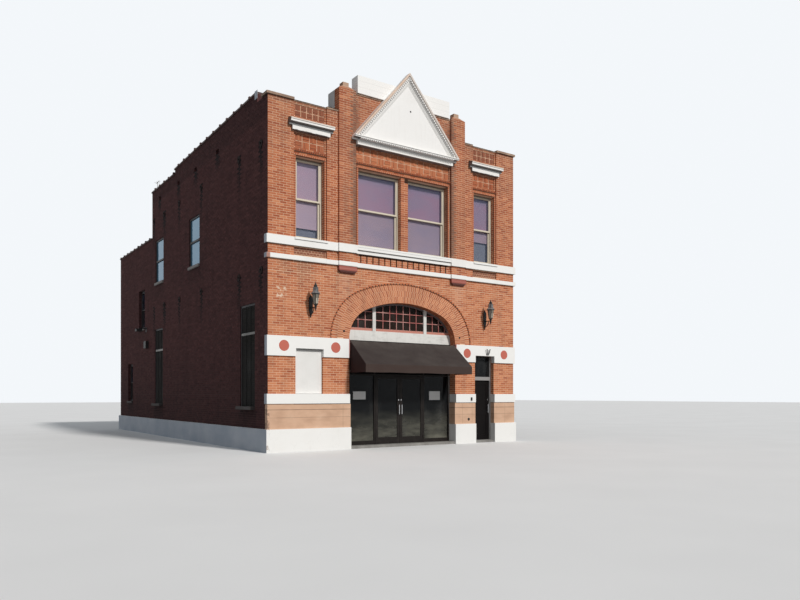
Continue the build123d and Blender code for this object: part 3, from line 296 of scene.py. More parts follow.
def wall_brick(name, tones, front):
    """The wall behind the laid bricks: bare mortar on the outer faces, drawn courses on the others."""
    f = Finish(name, 0.9, 0.1)
    sideways = f.sideways()
    parts = f.node("SeparateXYZ", i0=f.place)
    along = f.math("ADD", f.product(parts.outputs[1], sideways),
                   f.product(parts.outputs[0], f.less(sideways)))
    where = f.node("CombineXYZ", i0=along, i1=parts.outputs[2]).outputs[0]
    laid = f.node("TexBrick", [("offset", 0.5), ("offset_frequency", 2)], Vector=where, Color1=tones["dark"],
                  Color2=tones["light"], Mortar=tones["mortar"], Scale=1.0)
    for socket, value in (("Mortar Size", JOINT / 2), ("Mortar Smooth", 0.1), ("Brick Width", LENGTH),
                          ("Row Height", COURSE)):
        laid.inputs[socket].default_value = value
    grit = f.noise(90.0, 3.0)
    colour = f.mix(f.product(grit, 0.35), laid.outputs["Color"], tones["mid"])
    far = f.math("GREATER_THAN", f.math("ABSOLUTE", parts.outputs[0]), HALF - 0.01)
    if front:
        outer = f.product(f.facing(1, -TOWARDS), f.math("LESS_THAN", parts.outputs[1], 0.1))
    else:
        behind = f.product(f.facing(1, TOWARDS), f.math("GREATER_THAN", parts.outputs[1], MAIN_DEPTH - 0.01))
        outer = f.plus(f.product(sideways, far), behind)
    sandy = f.mix(grit, tones["mortar"], tuple(0.8 * part for part in tones["mortar"]))
    colour = grimy(f, f.mix(outer, colour, sandy), tones["soot"])
    if front:
        colour = rolled_brick(f, front_zones(f, colour, tones["soot"]), tones)
        # Its end faces at the corners take the sides' darkened mortar: painted shade
        colour = f.over(colour, SHADED_SIDE["mortar"], sideways, far)
    f.colour(colour)
    courses = f.product(f.less(laid.outputs["Fac"]), f.less(outer))
    f.bump(f.math("ADD", courses, f.product(grit, 0.4)), 0.6, 0.003)
    return f.material


def front_zones(f, colour, soot):
    """Soot beside the pilasters, their mortar caps, and painted shade inside the frieze's slots, under the
    upper belt and in the mullion's broken brick.
    """
    pier = (PIER_IN - 0.03, PIER_OUT + 0.03)
    shoulder = f.zone(across=pier, z=(PIER_TOP, PIER_TOP + 0.1), soft=0.01)
    cap = f.zone(across=pier, z=(PIER_TOP + 0.1, 11.2), soft=0.02)
    colour = f.over(colour, (0.33, 0.13, 0.075), shoulder, 0.8)
    colour = f.over(colour, (0.43, 0.3, 0.225), cap, 0.85)
    colour = f.over(colour, soot, f.zone(across=(1.66, 1.98), z=(6.2, 10.4), soft=0.08),
                    f.patchy(2.5, 4.0, (0.35, 0.3), (0.6, 1.0)), 0.75)
    # Near-black painted shade inside the frieze's slots
    slots = f.product(f.zone(across=(-1, 1.75), y=(0.006, 0.5), z=(SLOT_FOOT, UPPER_BELT), soft=0.002), 0.93)
    return f.over(colour, PAINTED_SHADE, f.math("MAXIMUM", slots, painted_shade_places(f, 1.68)))


def rolled_brick(f, colour, tones):
    """The bricks of the rolled window surrounds and of the label courses, with joints across the run, and
    painted shade at their edges, on the head rolls and in the label courses.
    """
    def strips(limits, z, soft=0.001):
        """Strips across the front, between two heights."""
        return f.plus(0.0, *[f.zone(across=pair, z=z, soft=soft) for pair in limits])

    def joints(axis, pitch, share):
        return f.math("LESS_THAN", f.math("FRACT", f.math("DIVIDE", f.axis(axis), pitch)), share)

    centre_jamb = (CENTRE_LIGHT, CENTRE_LIGHT + ROLL + 0.004)
    jambs = strips(((BAY_IN, BAY_LIGHT[0]), (BAY_LIGHT[1], BAY_OUT), centre_jamb), (SILL, HEAD))
    heads = strips(((BAY_IN, BAY_OUT), (-1, CENTRE_LIGHT + ROLL + 0.002)), (HEAD, HEAD + ROLL + 0.002))
    labels = strips(((BAY_IN - 0.06, BAY_OUT + 0.06), (-1, PIER_IN)), LABEL)
    runs = f.plus(heads, labels)
    joint = f.plus(f.product(jambs, joints(2, COURSE, 0.15)), f.product(runs, joints(0, ON_END, 0.17)))
    brick = f.mix(f.noise(17.0, 2.0), tones["dark"], tones["mid"])
    brick = f.over(brick, tones["mortar"], joint, 0.65)
    # Painted shade in dark lines along the jambs' edges and along the foot and top of the head rolls
    edges = strips(((BAY_IN - 0.01, BAY_IN + 0.008), (BAY_LIGHT[0] - 0.01, BAY_LIGHT[0] + 0.01),
                    (BAY_LIGHT[1] - 0.01, BAY_LIGHT[1] + 0.01), (BAY_OUT - 0.008, BAY_OUT + 0.01),
                    (CENTRE_LIGHT - 0.01, CENTRE_LIGHT + 0.009), (CENTRE_LIGHT + 0.07, CENTRE_LIGHT + 0.09)),
                   None, 0.004)
    lines = f.plus(f.zone(z=(HEAD - 0.01, HEAD + 0.012), soft=0.004),
                   f.zone(z=(HEAD + ROLL - 0.012, HEAD + ROLL + 0.01), soft=0.004))
    outline = f.plus(f.product(edges, jambs), f.product(lines, heads))
    brick = f.over(brick, (0.09, 0.036, 0.026), outline, 0.8)
    # Painted shade on the lower part of the head rolls
    brick = f.over(brick, (0.1, 0.042, 0.03), heads, f.zone(z=(HEAD - 0.01, HEAD + 0.026), soft=0.006), 0.6)
    # Near-black painted shade in the open joints behind and under the label bricks
    brick = f.over(brick, (0.06, 0.028, 0.021), labels, 0.93)
    return f.over(colour, brick, f.plus(jambs, runs), f.zone(y=(-0.2, 0.0515), soft=0.0005))


FRONT = {"dark": (0.36, 0.1, 0.048), "mid": (0.485, 0.163, 0.078), "light": (0.61, 0.245, 0.124),
         "mortar": (0.86, 0.6, 0.42), "soot": (0.15, 0.105, 0.082), "pale": (0.64, 0.48, 0.37)}
# The long sides and the back: the front's brick made far darker, mostly painted shade and partly soot
SHADED_SIDE = {"dark": (0.07, 0.029, 0.029), "mid": (0.1, 0.042, 0.041), "light": (0.135, 0.057, 0.054),
        "mortar": (0.092, 0.052, 0.051), "soot": (0.016, 0.011, 0.012), "pale": (0.2, 0.15, 0.13)}


def glass(name, base, alpha, rough=0.05, high=None, gloss=0.5):
    """Glass over a dark room, with faint smears, and a pale painted reflection below a height where one is
    given.
    """
    f = Finish(name, rough, gloss, Alpha=alpha)
    smears = f.noise(2.0, 4.0, (1, 1, 0.5))
    colour = f.over(base, (0.3, 0.3, 0.29), f.ramp(smears, (0.5, 0.0), (0.8, 1.0)), 0.1)
    if high:
        low_reflection = f.patchy(1.4, 4.0, (0.35, 0.3), (0.65, 1.0), stretch=(1, 1, 3))
        colour = f.over(colour, (0.19, 0.185, 0.15), f.step(f.axis(2), high, 0.1), low_reflection)
    f.colour(colour)
    f.rough(smears, rough * 0.7, rough * 2.2)
    return f.material


def limestone():
    """Dressed stone in two courses, with dark joints, brown stains, grain, and painted shade under the sill
    band.
    """
    f = Finish("limestone_blocks", 0.8)
    grain = f.noise(55.0, 4.0)
    colour = f.patchy(1.8, 6.0, (0.3, (0.56, 0.345, 0.228)), (0.55, (0.65, 0.415, 0.28)),
                      (0.8, (0.7, 0.48, 0.34)), stretch=(1, 1, 1.4))
    colour = f.over(colour, (0.43, 0.28, 0.19), grain, 0.22)
    colour = f.over(colour, (0.35, 0.2, 0.125),
                    f.patchy(2.6, 5.0, (0.44, 0.0), (0.7, 1.0), stretch=(0.6, 1, 1.6)),
                    f.zone(z=(0.75, 1.15), soft=0.12), 0.35)
    for level, thick in ((0.965, 0.006), (1.185, 0.013)):
        colour = f.over(colour, (0.11, 0.064, 0.044), f.zone(z=(level, level + thick), soft=0.006),
                        f.patchy(3.0, 2.0, (0.3, 0.6), (0.6, 1.0)))
    for x in (-2.25, 2.3, 2.72, 4.2):
        upright = f.zone(x=(x, x + 0.008), z=(BASE, 1.3), soft=0.006)
        colour = f.over(colour, (0.24, 0.14, 0.09), upright, 0.75)
    colour = f.over(colour, (0.2, 0.12, 0.085), f.step(f.axis(0), -4.56, -4.62),
                    f.patchy(7.0, 3.0, (0.5, 0.0), (0.56, 0.8)))
    # Painted shade in a dark line under the sill band, darkest under the boarded window's sill
    sill_shade_line = f.product(f.zone(z=(1.342, 1.4), soft=0.008), f.patchy(1.6, 2.0, (0.4, 0.35), (0.6, 0.9)))
    gap = f.zone(x=(-3.85, -2.62), z=(1.338, 1.4), soft=0.006)
    f.colour(f.over(colour, (0.08, 0.048, 0.034), f.math("MAXIMUM", sill_shade_line, gap)))
    f.bump(grain, 0.35, 0.0015)
    return f.material


def cloth(name, base, worn):
    """Close woven awning cloth, dustier near the wall and browner along the valance, with painted shade on
    its closed ends.
    """
    f = Finish(name, 0.85, 0.15)
    waves = [f.node("TexWave", [("bands_direction", way)], Vector=f.place, Scale=190.0) for way in ("X", "Z")]
    threads = f.product(waves[0].outputs["Fac"], waves[1].outputs["Fac"])
    colour = f.mix(f.patchy(1.6, 5.0, (0.35, 0.0), (0.7, 1.0), stretch=(1, 1.6, 1.6)), base, worn)
    colour = f.over(colour, (0.1, 0.086, 0.076), f.step(f.axis(2), 2.95, 3.22),
                    f.patchy(3.0, 3.0, (0.35, 0.2), (0.7, 1.0), stretch=(2, 1, 1)), 0.6)
    colour = f.over(colour, (0.064, 0.04, 0.033), f.step(f.axis(2), 2.52, 2.48), 0.6)
    colour = f.over(colour, (0.018, 0.015, 0.014), threads, 0.22)
    # Painted shade on the closed ends, which face the sides
    f.colour(f.over(colour, (0.02, 0.009, 0.01), f.sideways(), 0.8))
    f.bump(threads, 0.4, 0.0008)
    return f.material


def metal(name, base, rough, worn, metallic=1.0, layers=(), gloss=0.5):
    """Brushed or painted metal, worn in patches."""
    f = Finish(name, rough, gloss, Metallic=metallic)
    brushed = f.noise(30.0, 2.0, (1, 1, 12))
    colour = f.over(base, worn, f.patchy(6.0, 5.0, (0.45, 0.0), (0.75, 1.0)), 0.6)
    for layer in layers:
        colour = layer(f, colour)
    f.colour(colour)
    f.rough(brushed, rough * 0.8, min(1.0, rough * 1.4))
    f.bump(brushed, 0.1, 0.0004)
    return f.material


def mottled(name, dark, light, rough, scale):
    """A rough surface, clouded between two colours."""
    f = Finish(name, rough, 0.15)
    f.colour(f.patchy(scale, 6.0, (0.3, dark), (0.7, light)))
    f.bump(f.noise(60.0, 3.0), 0.3, 0.002)
    return f.material


def red_returns(f, colour):
    """The painted band turns red where it meets the arch."""
    return f.over(colour, (0.34, 0.07, 0.055), f.zone(across=(1.9, 2.048), z=(BAND_LOW, SPRING), soft=0.004),
                  0.9)


def belt_wear(f, colour):
    """The thin belt's paint and mortar are gone at the left corner, and it is grubby along its lower edge."""
    colour = f.over(colour, (0.4, 0.36, 0.32), f.zone(z=(BELT - 0.02, BELT + 0.015), soft=0.01),
                    f.noise(2.0, 3.0),
                    0.7)
    return f.over(colour, (0.33, 0.135, 0.085), f.zone(x=(-5, -4.575), z=(BELT - 0.01, FRIEZE), soft=0.01),
                  0.92)


def rake_wear_and_shade(f, colour):
    """Bare, sun-bleached wood along the rakes, most of it on the left one, and painted shade in the hollows.
    """
    from_end = f.math("SUBTRACT", GABLE_HALF, f.math("ABSOLUTE", f.axis(0)))
    up = f.math("SUBTRACT", f.axis(2), GABLE_EAVE)
    inward = f.math("SUBTRACT", f.product(from_end, (GABLE_TIP - GABLE_EAVE) / RAKE_LENGTH),
                    f.product(up, GABLE_HALF / RAKE_LENGTH))
    left = f.math("ADD", f.product(f.step(f.axis(0), 0.02, -0.02), 0.55), 0.3)
    right = f.math("ADD", f.product(f.step(f.axis(0), -0.02, 0.02), 0.5), 0.35)
    crown = f.product(f.step(inward, 0.078, 0.054), f.step(f.axis(2), 9.3, 9.34))
    colour = f.over(colour, (0.66, 0.43, 0.29), crown,
                    f.product(left, f.patchy(2.4, 4.0, (0.3, 0.55), (0.6, 1.0))))
    # Painted shade: dark gaps between the rakes' dentils, stronger on the right rake, behind the level
    # dentils, and a thin line on the level crown
    strip = f.product(f.between(inward, 0.08, 0.147, 0.002), f.step(f.axis(2), 9.34, 9.36),
                      f.zone(y=(-0.256, -0.2), soft=0.001), right)
    soffit = f.product(f.zone(y=(-0.275, -0.05), z=(9.19, 9.2475), soft=0.001),
                       f.step(f.axis(1), -0.1505, -0.1515), 0.8)
    line = f.product(f.zone(z=(9.276, 9.28), y=(-0.3, -0.26), soft=0.003), 0.7)
    for mask in (strip, soffit, line):
        colour = f.mix(mask, colour, (0.09, 0.08, 0.075))
    return colour


def cornice_wear_and_shade(f, colour):
    """Rusty tan sheet on the top fillet of the bay cornices, painted shade in their cove, under the fillet
    and on their left ends, and grime along their foot.
    """
    colour = f.over(colour, (0.56, 0.4, 0.28), f.step(f.axis(2), 9.345, 9.375),
                    f.patchy(2.4, 4.0, (0.35, 0.5), (0.6, 1.0)), 0.8)
    # Painted shade in the cove, in a line under the top fillet and on the ends that face left
    cove = f.product(f.zone(z=(9.222, 9.288), soft=0.004), f.step(f.axis(1), -0.083, -0.088), 0.7)
    line = f.product(f.zone(z=(9.342, 9.35), soft=0.003), f.step(f.axis(1), -0.15, -0.16), 0.8)
    ends = f.product(f.facing(0, -TOWARDS), 0.9)
    low = f.product(f.zone(z=(9.0, 9.112), soft=0.006), f.patchy(8.0, 3.0, (0.45, 0.0), (0.55, 1.0)), 0.8)
    for mask in (cove, line, ends, low):
        colour = f.mix(mask, colour, (0.075, 0.066, 0.062))
    return colour


def screen_seams(f, colour):
    """Two level seams between the boards of the screen, and greyer cladding beside the gable."""
    for seam in (10.84, 11.02):
        colour = f.over(colour, (0.3, 0.28, 0.26), f.zone(z=(seam, seam + 0.006), soft=0.006),
                        f.noise(1.0, 2.0), 0.8)
    return f.over(colour, (0.3, 0.29, 0.28), f.step(f.axis(1), 0.18, 0.22),
                  f.zone(across=(2.0, 2.5), z=(9.4, 10.7), soft=0.01), 0.8)


def fanlight_parts(f, colour):
    """The fanlight's beam is smudged, its rail is red between the posts, and its rim is dark."""
    between_posts = f.less(f.zone(across=FANLIGHT_POSTS, soft=0.001))
    colour = f.over(colour, (0.42, 0.41, 0.385),
                    f.patchy(4.5, 5.0, (0.52, 0.0), (0.68, 1.0), stretch=(0.6, 1, 1.5)),
                    0.45)
    colour = f.over(colour, (0.48, 0.17, 0.12), f.zone(z=(3.582, 3.658), soft=0.002), between_posts, 0.95)
    return f.over(colour, (0.105, 0.08, 0.085), f.step(f.axis(2), 3.662, 3.672), between_posts, 0.93)


def bar_fade(f, colour):
    """The fanlight's bars are faded to pink in places."""
    return f.over(colour, (0.56, 0.33, 0.29), f.patchy(3.0, 3.0, (0.42, 0.0), (0.62, 1.0)), 0.7)


def door_frame_parts(f, colour):
    """The side door's transom bar and right jamb are pale grey."""
    bar = f.zone(x=(2.85, 3.72), z=(2.09, 2.23), soft=0.003)
    jamb = f.zone(x=(3.664, 3.72), z=(0.0, 2.93), soft=0.002)
    return f.over(colour, (0.33, 0.32, 0.315), f.plus(bar, jamb), 0.9)


def lantern_roof(f, colour):
    """The roof, brim and drum of the lanterns have gone silver grey."""
    return f.over(colour, (0.24, 0.225, 0.225), f.zone(z=(4.474, 4.66), y=(-1, -0.05), soft=0.004),
                  f.patchy(14.0, 3.0, (0.4, 0.35), (0.62, 1.0)))


def sill_places(f, colour):
    """The long sills of the sides are nearly black, and the upper ones grey."""
    side = f.step(f.axis(1), 0.5, 0.6)
    colour = f.mix(side, colour, (0.3, 0.28, 0.27))
    return f.over(colour, (0.06, 0.052, 0.05), side, f.step(f.axis(2), 3.0, 2.9))


def stained_top_shaded_under(f, colour):
    """Pale mortar along the front copings, and painted shade on their undersides."""
    colour = f.over(colour, (0.52, 0.37, 0.27),
                    f.patchy(3.5, 4.0, (0.46, 0.0), (0.64, 1.0), stretch=(1, 1, 2)), 0.6)
    return f.over(colour, (0.08, 0.055, 0.042), f.facing(2, -0.25), 0.85)


def peeled_corner(f, colour):
    """Paint lost at the left corner of the base, and hairline cracks."""
    colour = f.over(colour, (0.45, 0.43, 0.4), f.between(f.noise(1.3, 5.0), 0.497, 0.503, 0.002),
                    f.zone(z=(0.0, BASE), soft=0.01), 0.1)
    edge = f.product(f.step(f.axis(0), -4.585, -4.66), f.zone(y=(-0.2, -0.02), soft=0.03),
                     f.patchy(6.0, 4.0, (0.5, 0.0), (0.54, 1.0)))
    return f.over(colour, (0.33, 0.25, 0.2), edge, 0.7)


def side_face_shade(f, colour):
    """Painted blue-grey shade, with some soiling, on the faces towards the sides and the back of the
    building.
    """
    ends = f.product(f.sideways(), f.zone(across=(4.6, 5.3), soft=0.01))
    behind = f.product(f.facing(1, TOWARDS), f.zone(y=(16.5, 18.5), soft=0.01))
    return f.over(colour, (0.35, 0.4, 0.475), f.math("MAXIMUM", ends, behind),
                  f.patchy(1.1, 4.0, (0.35, 0.78), (0.65, 0.95), stretch=(1, 1, 2)))


def blind_reflections(f, colour):
    """Painted reflections and shade on the blinds: bluer at the top of the windows, greyer in their lower
    half, and brighter towards the left.
    """
    colour = f.over(colour, (0.44, 0.35, 0.41), f.step(f.axis(2), 7.3, 7.1), 0.8)
    colour = f.over(colour, (0.34, 0.29, 0.4),
                    f.patchy(1.1, 3.0, (0.42, 0.0), (0.62, 1.0), stretch=(1, 1, 2)),
                    0.55)
    colour = f.over(colour, (0.25, 0.28, 0.42), f.step(f.axis(2), 8.0, 8.3), 0.7)
    return f.over(colour, (0.86, 0.64, 0.74), f.step(f.axis(0), -0.4, -3.6), 0.42)


def frame_head_shadow(f, colour):
    """Painted shadow on the heads of the upper window frames, tight under the brick."""
    return f.over(colour, (0.085, 0.05, 0.038), f.zone(z=(8.352, 8.46), soft=0.004),
                  f.step(f.axis(1), 1.0, 0.8), 0.85)


WHITE, OLD_WHITE = (0.85, 0.845, 0.825), (0.66, 0.63, 0.585)
UNDERSIDE_SHADE = (0.15, 0.14, 0.13)
M = {
    "front_bricks": face_brick("front_bricks", FRONT),
    "front_wall": wall_brick("front_wall", FRONT, True),
    # The sides' brick finishes use the darkened palette: painted shade
    "side_bricks": face_brick("side_bricks", SHADED_SIDE),
    "side_wall": wall_brick("side_wall", SHADED_SIDE, False),
    "mortar": mottled("panel_mortar", (0.48, 0.29, 0.185), (0.8, 0.53, 0.37), 0.95, 5.0),
    "limestone": limestone(),
    "white": paint("white_masonry_paint", WHITE, OLD_WHITE, 0.55, 0.03, 0.12, bump=0.4,
                   layers=[peeled_corner, side_face_shade]),
    "band": paint("band_paint", WHITE, OLD_WHITE, 0.55, 0.03, 0.12, bump=0.4, under=UNDERSIDE_SHADE,
                  layers=[red_returns, side_face_shade]),
    "belt": paint("belt_paint", WHITE, (0.6, 0.56, 0.51), 0.55, 0.05, 0.25, bump=0.4, under=UNDERSIDE_SHADE,
                  layers=[belt_wear, side_face_shade]),
    "gable_white": paint("gable_sheet_paint", (0.84, 0.83, 0.815), (0.64, 0.61, 0.57), 0.45, 0.03, 0.18,
                         runs=0.1, bump=0.1),
    "screen": paint("screen_paint", (0.85, 0.84, 0.82), (0.66, 0.64, 0.61), 0.45, 0.02, 0.08, bump=0.1,
                    layers=[screen_seams]),
    "gable_trim": paint("gable_trim_paint", (0.85, 0.838, 0.815), (0.64, 0.6, 0.55), 0.5, 0.04, 0.18,
                        runs=0.1, bump=0.2, under=(0.1, 0.092, 0.088), layers=[rake_wear_and_shade], steep=-0.85),
    "bay_cornice": paint("bay_cornice_paint", (0.85, 0.84, 0.815), (0.64, 0.59, 0.53), 0.5, 0.04, 0.15,
                         runs=0.1, bump=0.2, under=(0.13, 0.12, 0.115), layers=[cornice_wear_and_shade], steep=-0.5),
    "cream": paint("window_frame_paint", (0.67, 0.6, 0.48), (0.4, 0.345, 0.27), 0.5, 0.1, 0.35, 0.25,
                   layers=[frame_head_shadow]),
    "beam": paint("fanlight_paint", (0.72, 0.71, 0.68), (0.44, 0.42, 0.39), 0.55, 0.1, 0.35, 0.2, 0.3,
                  layers=[fanlight_parts]),
    "red": paint("red_trim_paint", (0.36, 0.095, 0.085), (0.3, 0.17, 0.15), 0.45, 0.15, 0.3,
                 layers=[bar_fade]),
    "roundel": paint("roundel_paint", (0.51, 0.125, 0.085), (0.43, 0.15, 0.12), 0.5, 0.1, 0.15),
    "corbel": paint("corbel_paint", (0.33, 0.092, 0.066), (0.2, 0.085, 0.068), 0.5, 0.15, 0.4,
                    under=(0.11, 0.045, 0.038)),
    "board": paint("board_paint", (0.785, 0.778, 0.76), (0.64, 0.625, 0.6), 0.6, 0.08, 0.4, 0.15, 0.3),
    "coping": paint("coping_stone", (0.29, 0.195, 0.14), (0.16, 0.112, 0.088), 0.85, 0.3, 0.6, bump=0.5,
                    layers=[stained_top_shaded_under, sill_places]),
    "cap": paint("cap_mortar", (0.44, 0.33, 0.255), (0.25, 0.18, 0.135), 0.9, 0.3, 0.6, bump=0.6),
    "tile": paint("coping_tile", (0.075, 0.04, 0.035), (0.04, 0.028, 0.027), 0.7, 0.3, 0.6, bump=0.5),
    "dark_frame": paint("dark_window_paint", (0.04, 0.036, 0.038), (0.022, 0.02, 0.02), 0.5, 0.15, 0.5,
                        bump=0.2, gloss=0.2),
    "louvre": paint("louvre_paint", (0.026, 0.025, 0.024), (0.06, 0.055, 0.05), 0.8, 0.15, 0.4, bump=0.3,
                    gloss=0.08),
    "grey_rail": paint("grey_rail_paint", (0.38, 0.37, 0.35), (0.18, 0.17, 0.16), 0.6, 0.2, 0.6, bump=0.3),
    # Near-black for painted shade in open joints and gaps
    "joint": mottled("painted_gap_shade", (0.03, 0.024, 0.02), (0.06, 0.048, 0.04), 0.9, 12.0),
    "iron": metal("rusty_iron", (0.022, 0.016, 0.016), 0.8, (0.045, 0.022, 0.017), 0.0, gloss=0.1),
    "black": metal("black_iron_paint", (0.014, 0.013, 0.013), 0.45, (0.04, 0.036, 0.034), 0.0,
                   [lantern_roof], 0.25),
    "storefront": metal("dark_anodised_metal", (0.014, 0.011, 0.01), 0.4, (0.03, 0.024, 0.021), 0.0,
                        [door_frame_parts], 0.15),
    "pull": metal("satin_steel", (0.56, 0.56, 0.57), 0.3, (0.4, 0.39, 0.38)),
    "side_door": paint("side_door_paint", (0.007, 0.006, 0.006), (0.014, 0.011, 0.011), 0.45, 0.15, 0.4,
                       gloss=0.06),
    "awning": cloth("awning_cloth", (0.042, 0.033, 0.031), (0.06, 0.05, 0.046)),
    "upper_glass": glass("upper_window_glass", (0.09, 0.12, 0.2), 0.14),
    # Nearly opaque and near-black: painted shade of the room behind, with a pale painted reflection low down
    "shop_glass": glass("storefront_glass", (0.008, 0.009, 0.01), 0.86, 0.03, 1.15, 0.12),
    # Painted shade of the room behind the fanlight
    "fan_glass": glass("fanlight_shade_glass", (0.022, 0.014, 0.011), 0.95, 0.05, None, 0.05),
    # Painted sky reflection: blue colour on partly metallic glass
    "sky_glass": metal("side_glass_painted_sky", (0.13, 0.3, 0.45), 0.1, (0.18, 0.36, 0.52), 0.28, gloss=0.2),
    "lantern_glass": paint("lantern_glass", (0.2, 0.175, 0.14), (0.1, 0.09, 0.075), 0.12, 0.1, 0.6),
    "lamp": paint("floodlight_paint", (0.17, 0.17, 0.168), (0.09, 0.088, 0.086), 0.5, 0.1, 0.4),
    # Painted highlights on the lantern panes, standing for the bulbs behind
    "lantern_glint": paint("lantern_painted_glints", (0.82, 0.76, 0.64), (0.62, 0.54, 0.43), 0.4, 0.1, 0.3),
    "paper": paint("blank_notice", (0.76, 0.75, 0.73), (0.6, 0.59, 0.57), 0.6, 0.1, 0.4),
    "floor_slab": mottled("floor_slab_surface", (0.2, 0.19, 0.18), (0.32, 0.31, 0.29), 0.8, 3.0),
    "roofing": mottled("roofing_felt", (0.045, 0.043, 0.042), (0.09, 0.087, 0.083), 0.95, 2.0),
    "shade": paint("mauve_shade_cloth", (0.43, 0.265, 0.375), (0.38, 0.25, 0.36), 0.9, 0.04, 0.4, 0.3,
                   layers=[blind_reflections], gloss=0.1),
    # Grey-blue cloth whose colour is a painted reflection on the lower glass
    "low_shade": paint("grey_net_painted_reflection", (0.215, 0.235, 0.29), (0.18, 0.195, 0.24), 0.9, 0.04, 0.4, 0.2,
                       gloss=0.1),
}
CAD_FINISH = {
    "floor_slab": "ground_floor upper_floors",
    "roofing": "roof_decks",
    "white": "painted_base",
    "band": "painted_bands",
    "belt": "belts",
    "limestone": "limestone_courses",
    "front_wall": "lower_brick_piers arch_wall arch_ring frieze_wall bay_walls centre_wall pilasters",
    "gable_white": "gable_panel",
    "gable_trim": "gable_cornice",
    "bay_cornice": "bay_cornices",
    "screen": "parapet_screen",
    "corbel": "corbels",
    "board": "window_board",
    "cream": "upper_window_frames",
    "upper_glass": "window_glass",
    "shop_glass": "lower_glass entrance_glass_left entrance_glass_right",
    "beam": "fanlight_frame",
    "red": "fanlight_bars",
    "side_door": "side_door",
    "coping": "sills_and_copings",
    "side_wall": "left_wall right_wall main_back_wall rear_walls",
    "tile": "side_copings",
    "dark_frame": "side_window_frames",
    "iron": "tie_plates",
    "storefront": "doorway_frames entrance_door_left entrance_door_right",
    "pull": "entrance_pull_left entrance_pull_right side_door_pull awning_frame",
    "awning": "awning",
    "black": "wall_lights",
}
for finish, names in CAD_FINISH.items():
    for node in names.split():
        slots = NODES[node].material_slots
        if not slots:
            NODES[node].data.materials.append(M[finish])
        for slot in slots:
            slot.material = M[finish]


def piece(name, vertices, faces, finish, shares=None, smooth=False):
    """A mesh piece in the shared frame; shares are named values for each face."""
    mesh = bpy.data.meshes.new(name)
    mesh.from_pydata([tuple(v) for v in vertices], [], [tuple(f) for f in faces])
    mesh.update()
    for key, values in (shares or {}).items():
        mesh.attributes.new(key, "FLOAT", "FACE").data.foreach_set("value", np.asarray(values, np.float32))
    if smooth:
        mesh.polygons.foreach_set("use_smooth", [True] * len(mesh.polygons))
    return dress(bpy.data.objects.new(name, mesh), finish)


def dress(made, finish, body="building"):
    """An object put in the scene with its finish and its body."""
    bpy.context.scene.collection.objects.link(made)
    made.data.materials.append(M[finish])
    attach(made, body)
    return made


class Parts:
    """Small solid parts gathered into one mesh piece."""

    def __init__(self):
        self.mesh = bmesh.new()

    def block(self, low, high, edge):
        """A block between two corners with its edges eased."""
        made = bmesh.ops.create_cube(self.mesh, size=1.0)["verts"]
        middle = (Vector(low) + Vector(high)) / 2
        size = Vector(high) - Vector(low)
        for vertex in made:
            vertex.co = middle + Vector(a * b for a, b in zip(vertex.co, size))
        self.ease(made, min(edge, 0.3 * min(size)))

    def prism(self, outline, push, edge):
        """A solid from a flat outline of points, pushed by a vector."""
        base = [self.mesh.verts.new(point) for point in outline]
        top = [self.mesh.verts.new(Vector(point) + Vector(push)) for point in outline]
        self.skin([base, top])
        if edge:
            self.ease(base + top, edge)

    def ease(self, vertices, offset):
        """The edges at these corners cut off by a small bevel."""
        edges = list({edge for vertex in vertices for edge in vertex.link_edges})
        bmesh.ops.bevel(self.mesh, geom=edges, offset=offset, segments=1, affect="EDGES")

    def ring(self, sides, radius, place):
        """Corners round a circle; place makes a point of the two distances from its middle."""
        turns = [2 * math.pi * k / sides for k in range(sides)]
        points = [place(radius * math.cos(turn), radius * math.sin(turn)) for turn in turns]
        return [self.mesh.verts.new(point) for point in points]

    def tube(self, points, radius, sides):
        """A round rod through points, with closed ends."""
        points = [Vector(point) for point in points]
        rings = []
        for index, point in enumerate(points):
            ahead = points[min(index + 1, len(points) - 1)] - points[max(index - 1, 0)]
            turn = ahead.to_track_quat("Z", "Y")
            rings.append(self.ring(sides, radius, lambda a, b: point + turn @ Vector((a, b, 0))))
        self.skin(rings)

    def turned(self, centre, profile, sides, aim=None):
        """A turned solid from (radius, height) points, standing out towards the street or along aim."""
        turn = None if aim is None else aim.to_track_quat("Z", "Y")
        rings = []
        for radius, height in profile:
            def place(a, b):
                offset = Vector((a, -height, b)) if turn is None else turn @ Vector((a, b, height))
                return Vector(centre) + offset

            rings.append(self.ring(sides, radius, place))
        self.skin(rings)

    def skin(self, rings):
        """Faces between rings of corners, and over both ends."""
        sides = len(rings[0])
        for low, high in zip(rings, rings[1:]):
            for k in range(sides):
                self.mesh.faces.new((low[k], low[(k + 1) % sides], high[(k + 1) % sides], high[k]))
        self.mesh.faces.new(rings[0][::-1])
        self.mesh.faces.new(rings[-1])

    def make(self, name, finish, slot):
        """The parts as one piece of the scene."""
        bmesh.ops.recalc_face_normals(self.mesh, faces=self.mesh.faces[:])
        mesh = bpy.data.meshes.new(name)
        self.mesh.to_mesh(mesh)
        self.mesh.free()
        dress(bpy.data.objects.new(name, mesh), finish)


def grid_faces(rows, columns, start=0, flip=False):
    """The faces of a sheet of rows by columns, whose corners were listed row by row from start."""
    wide = columns + 1
    faces = []
    for row in range(rows):
        for k in range(columns):
            a = start + row * wide + k
            faces.append((a, a + wide, a + wide + 1, a + 1) if flip else (a, a + 1, a + wide + 1, a + wide))
    return faces


def level(limit, z):
    """The place of a field's edge at height z; an edge is a number or a function of z."""
    return limit(z) if callable(limit) else limit


def outside(spans, u0, u1, z):
    """What is left of the spans at height z when u0 to u1 is cut out."""
    rest = []
    for a, b in spans:
        low, high = level(a, z), level(b, z)
        if u1 <= low or u0 >= high:
            rest.append((a, b))
            continue
        if u0 > low + BRICK_LEFT:
            rest.append((a, u0))
        if u1 < high - BRICK_LEFT:
            rest.append((u1, b))
    return rest


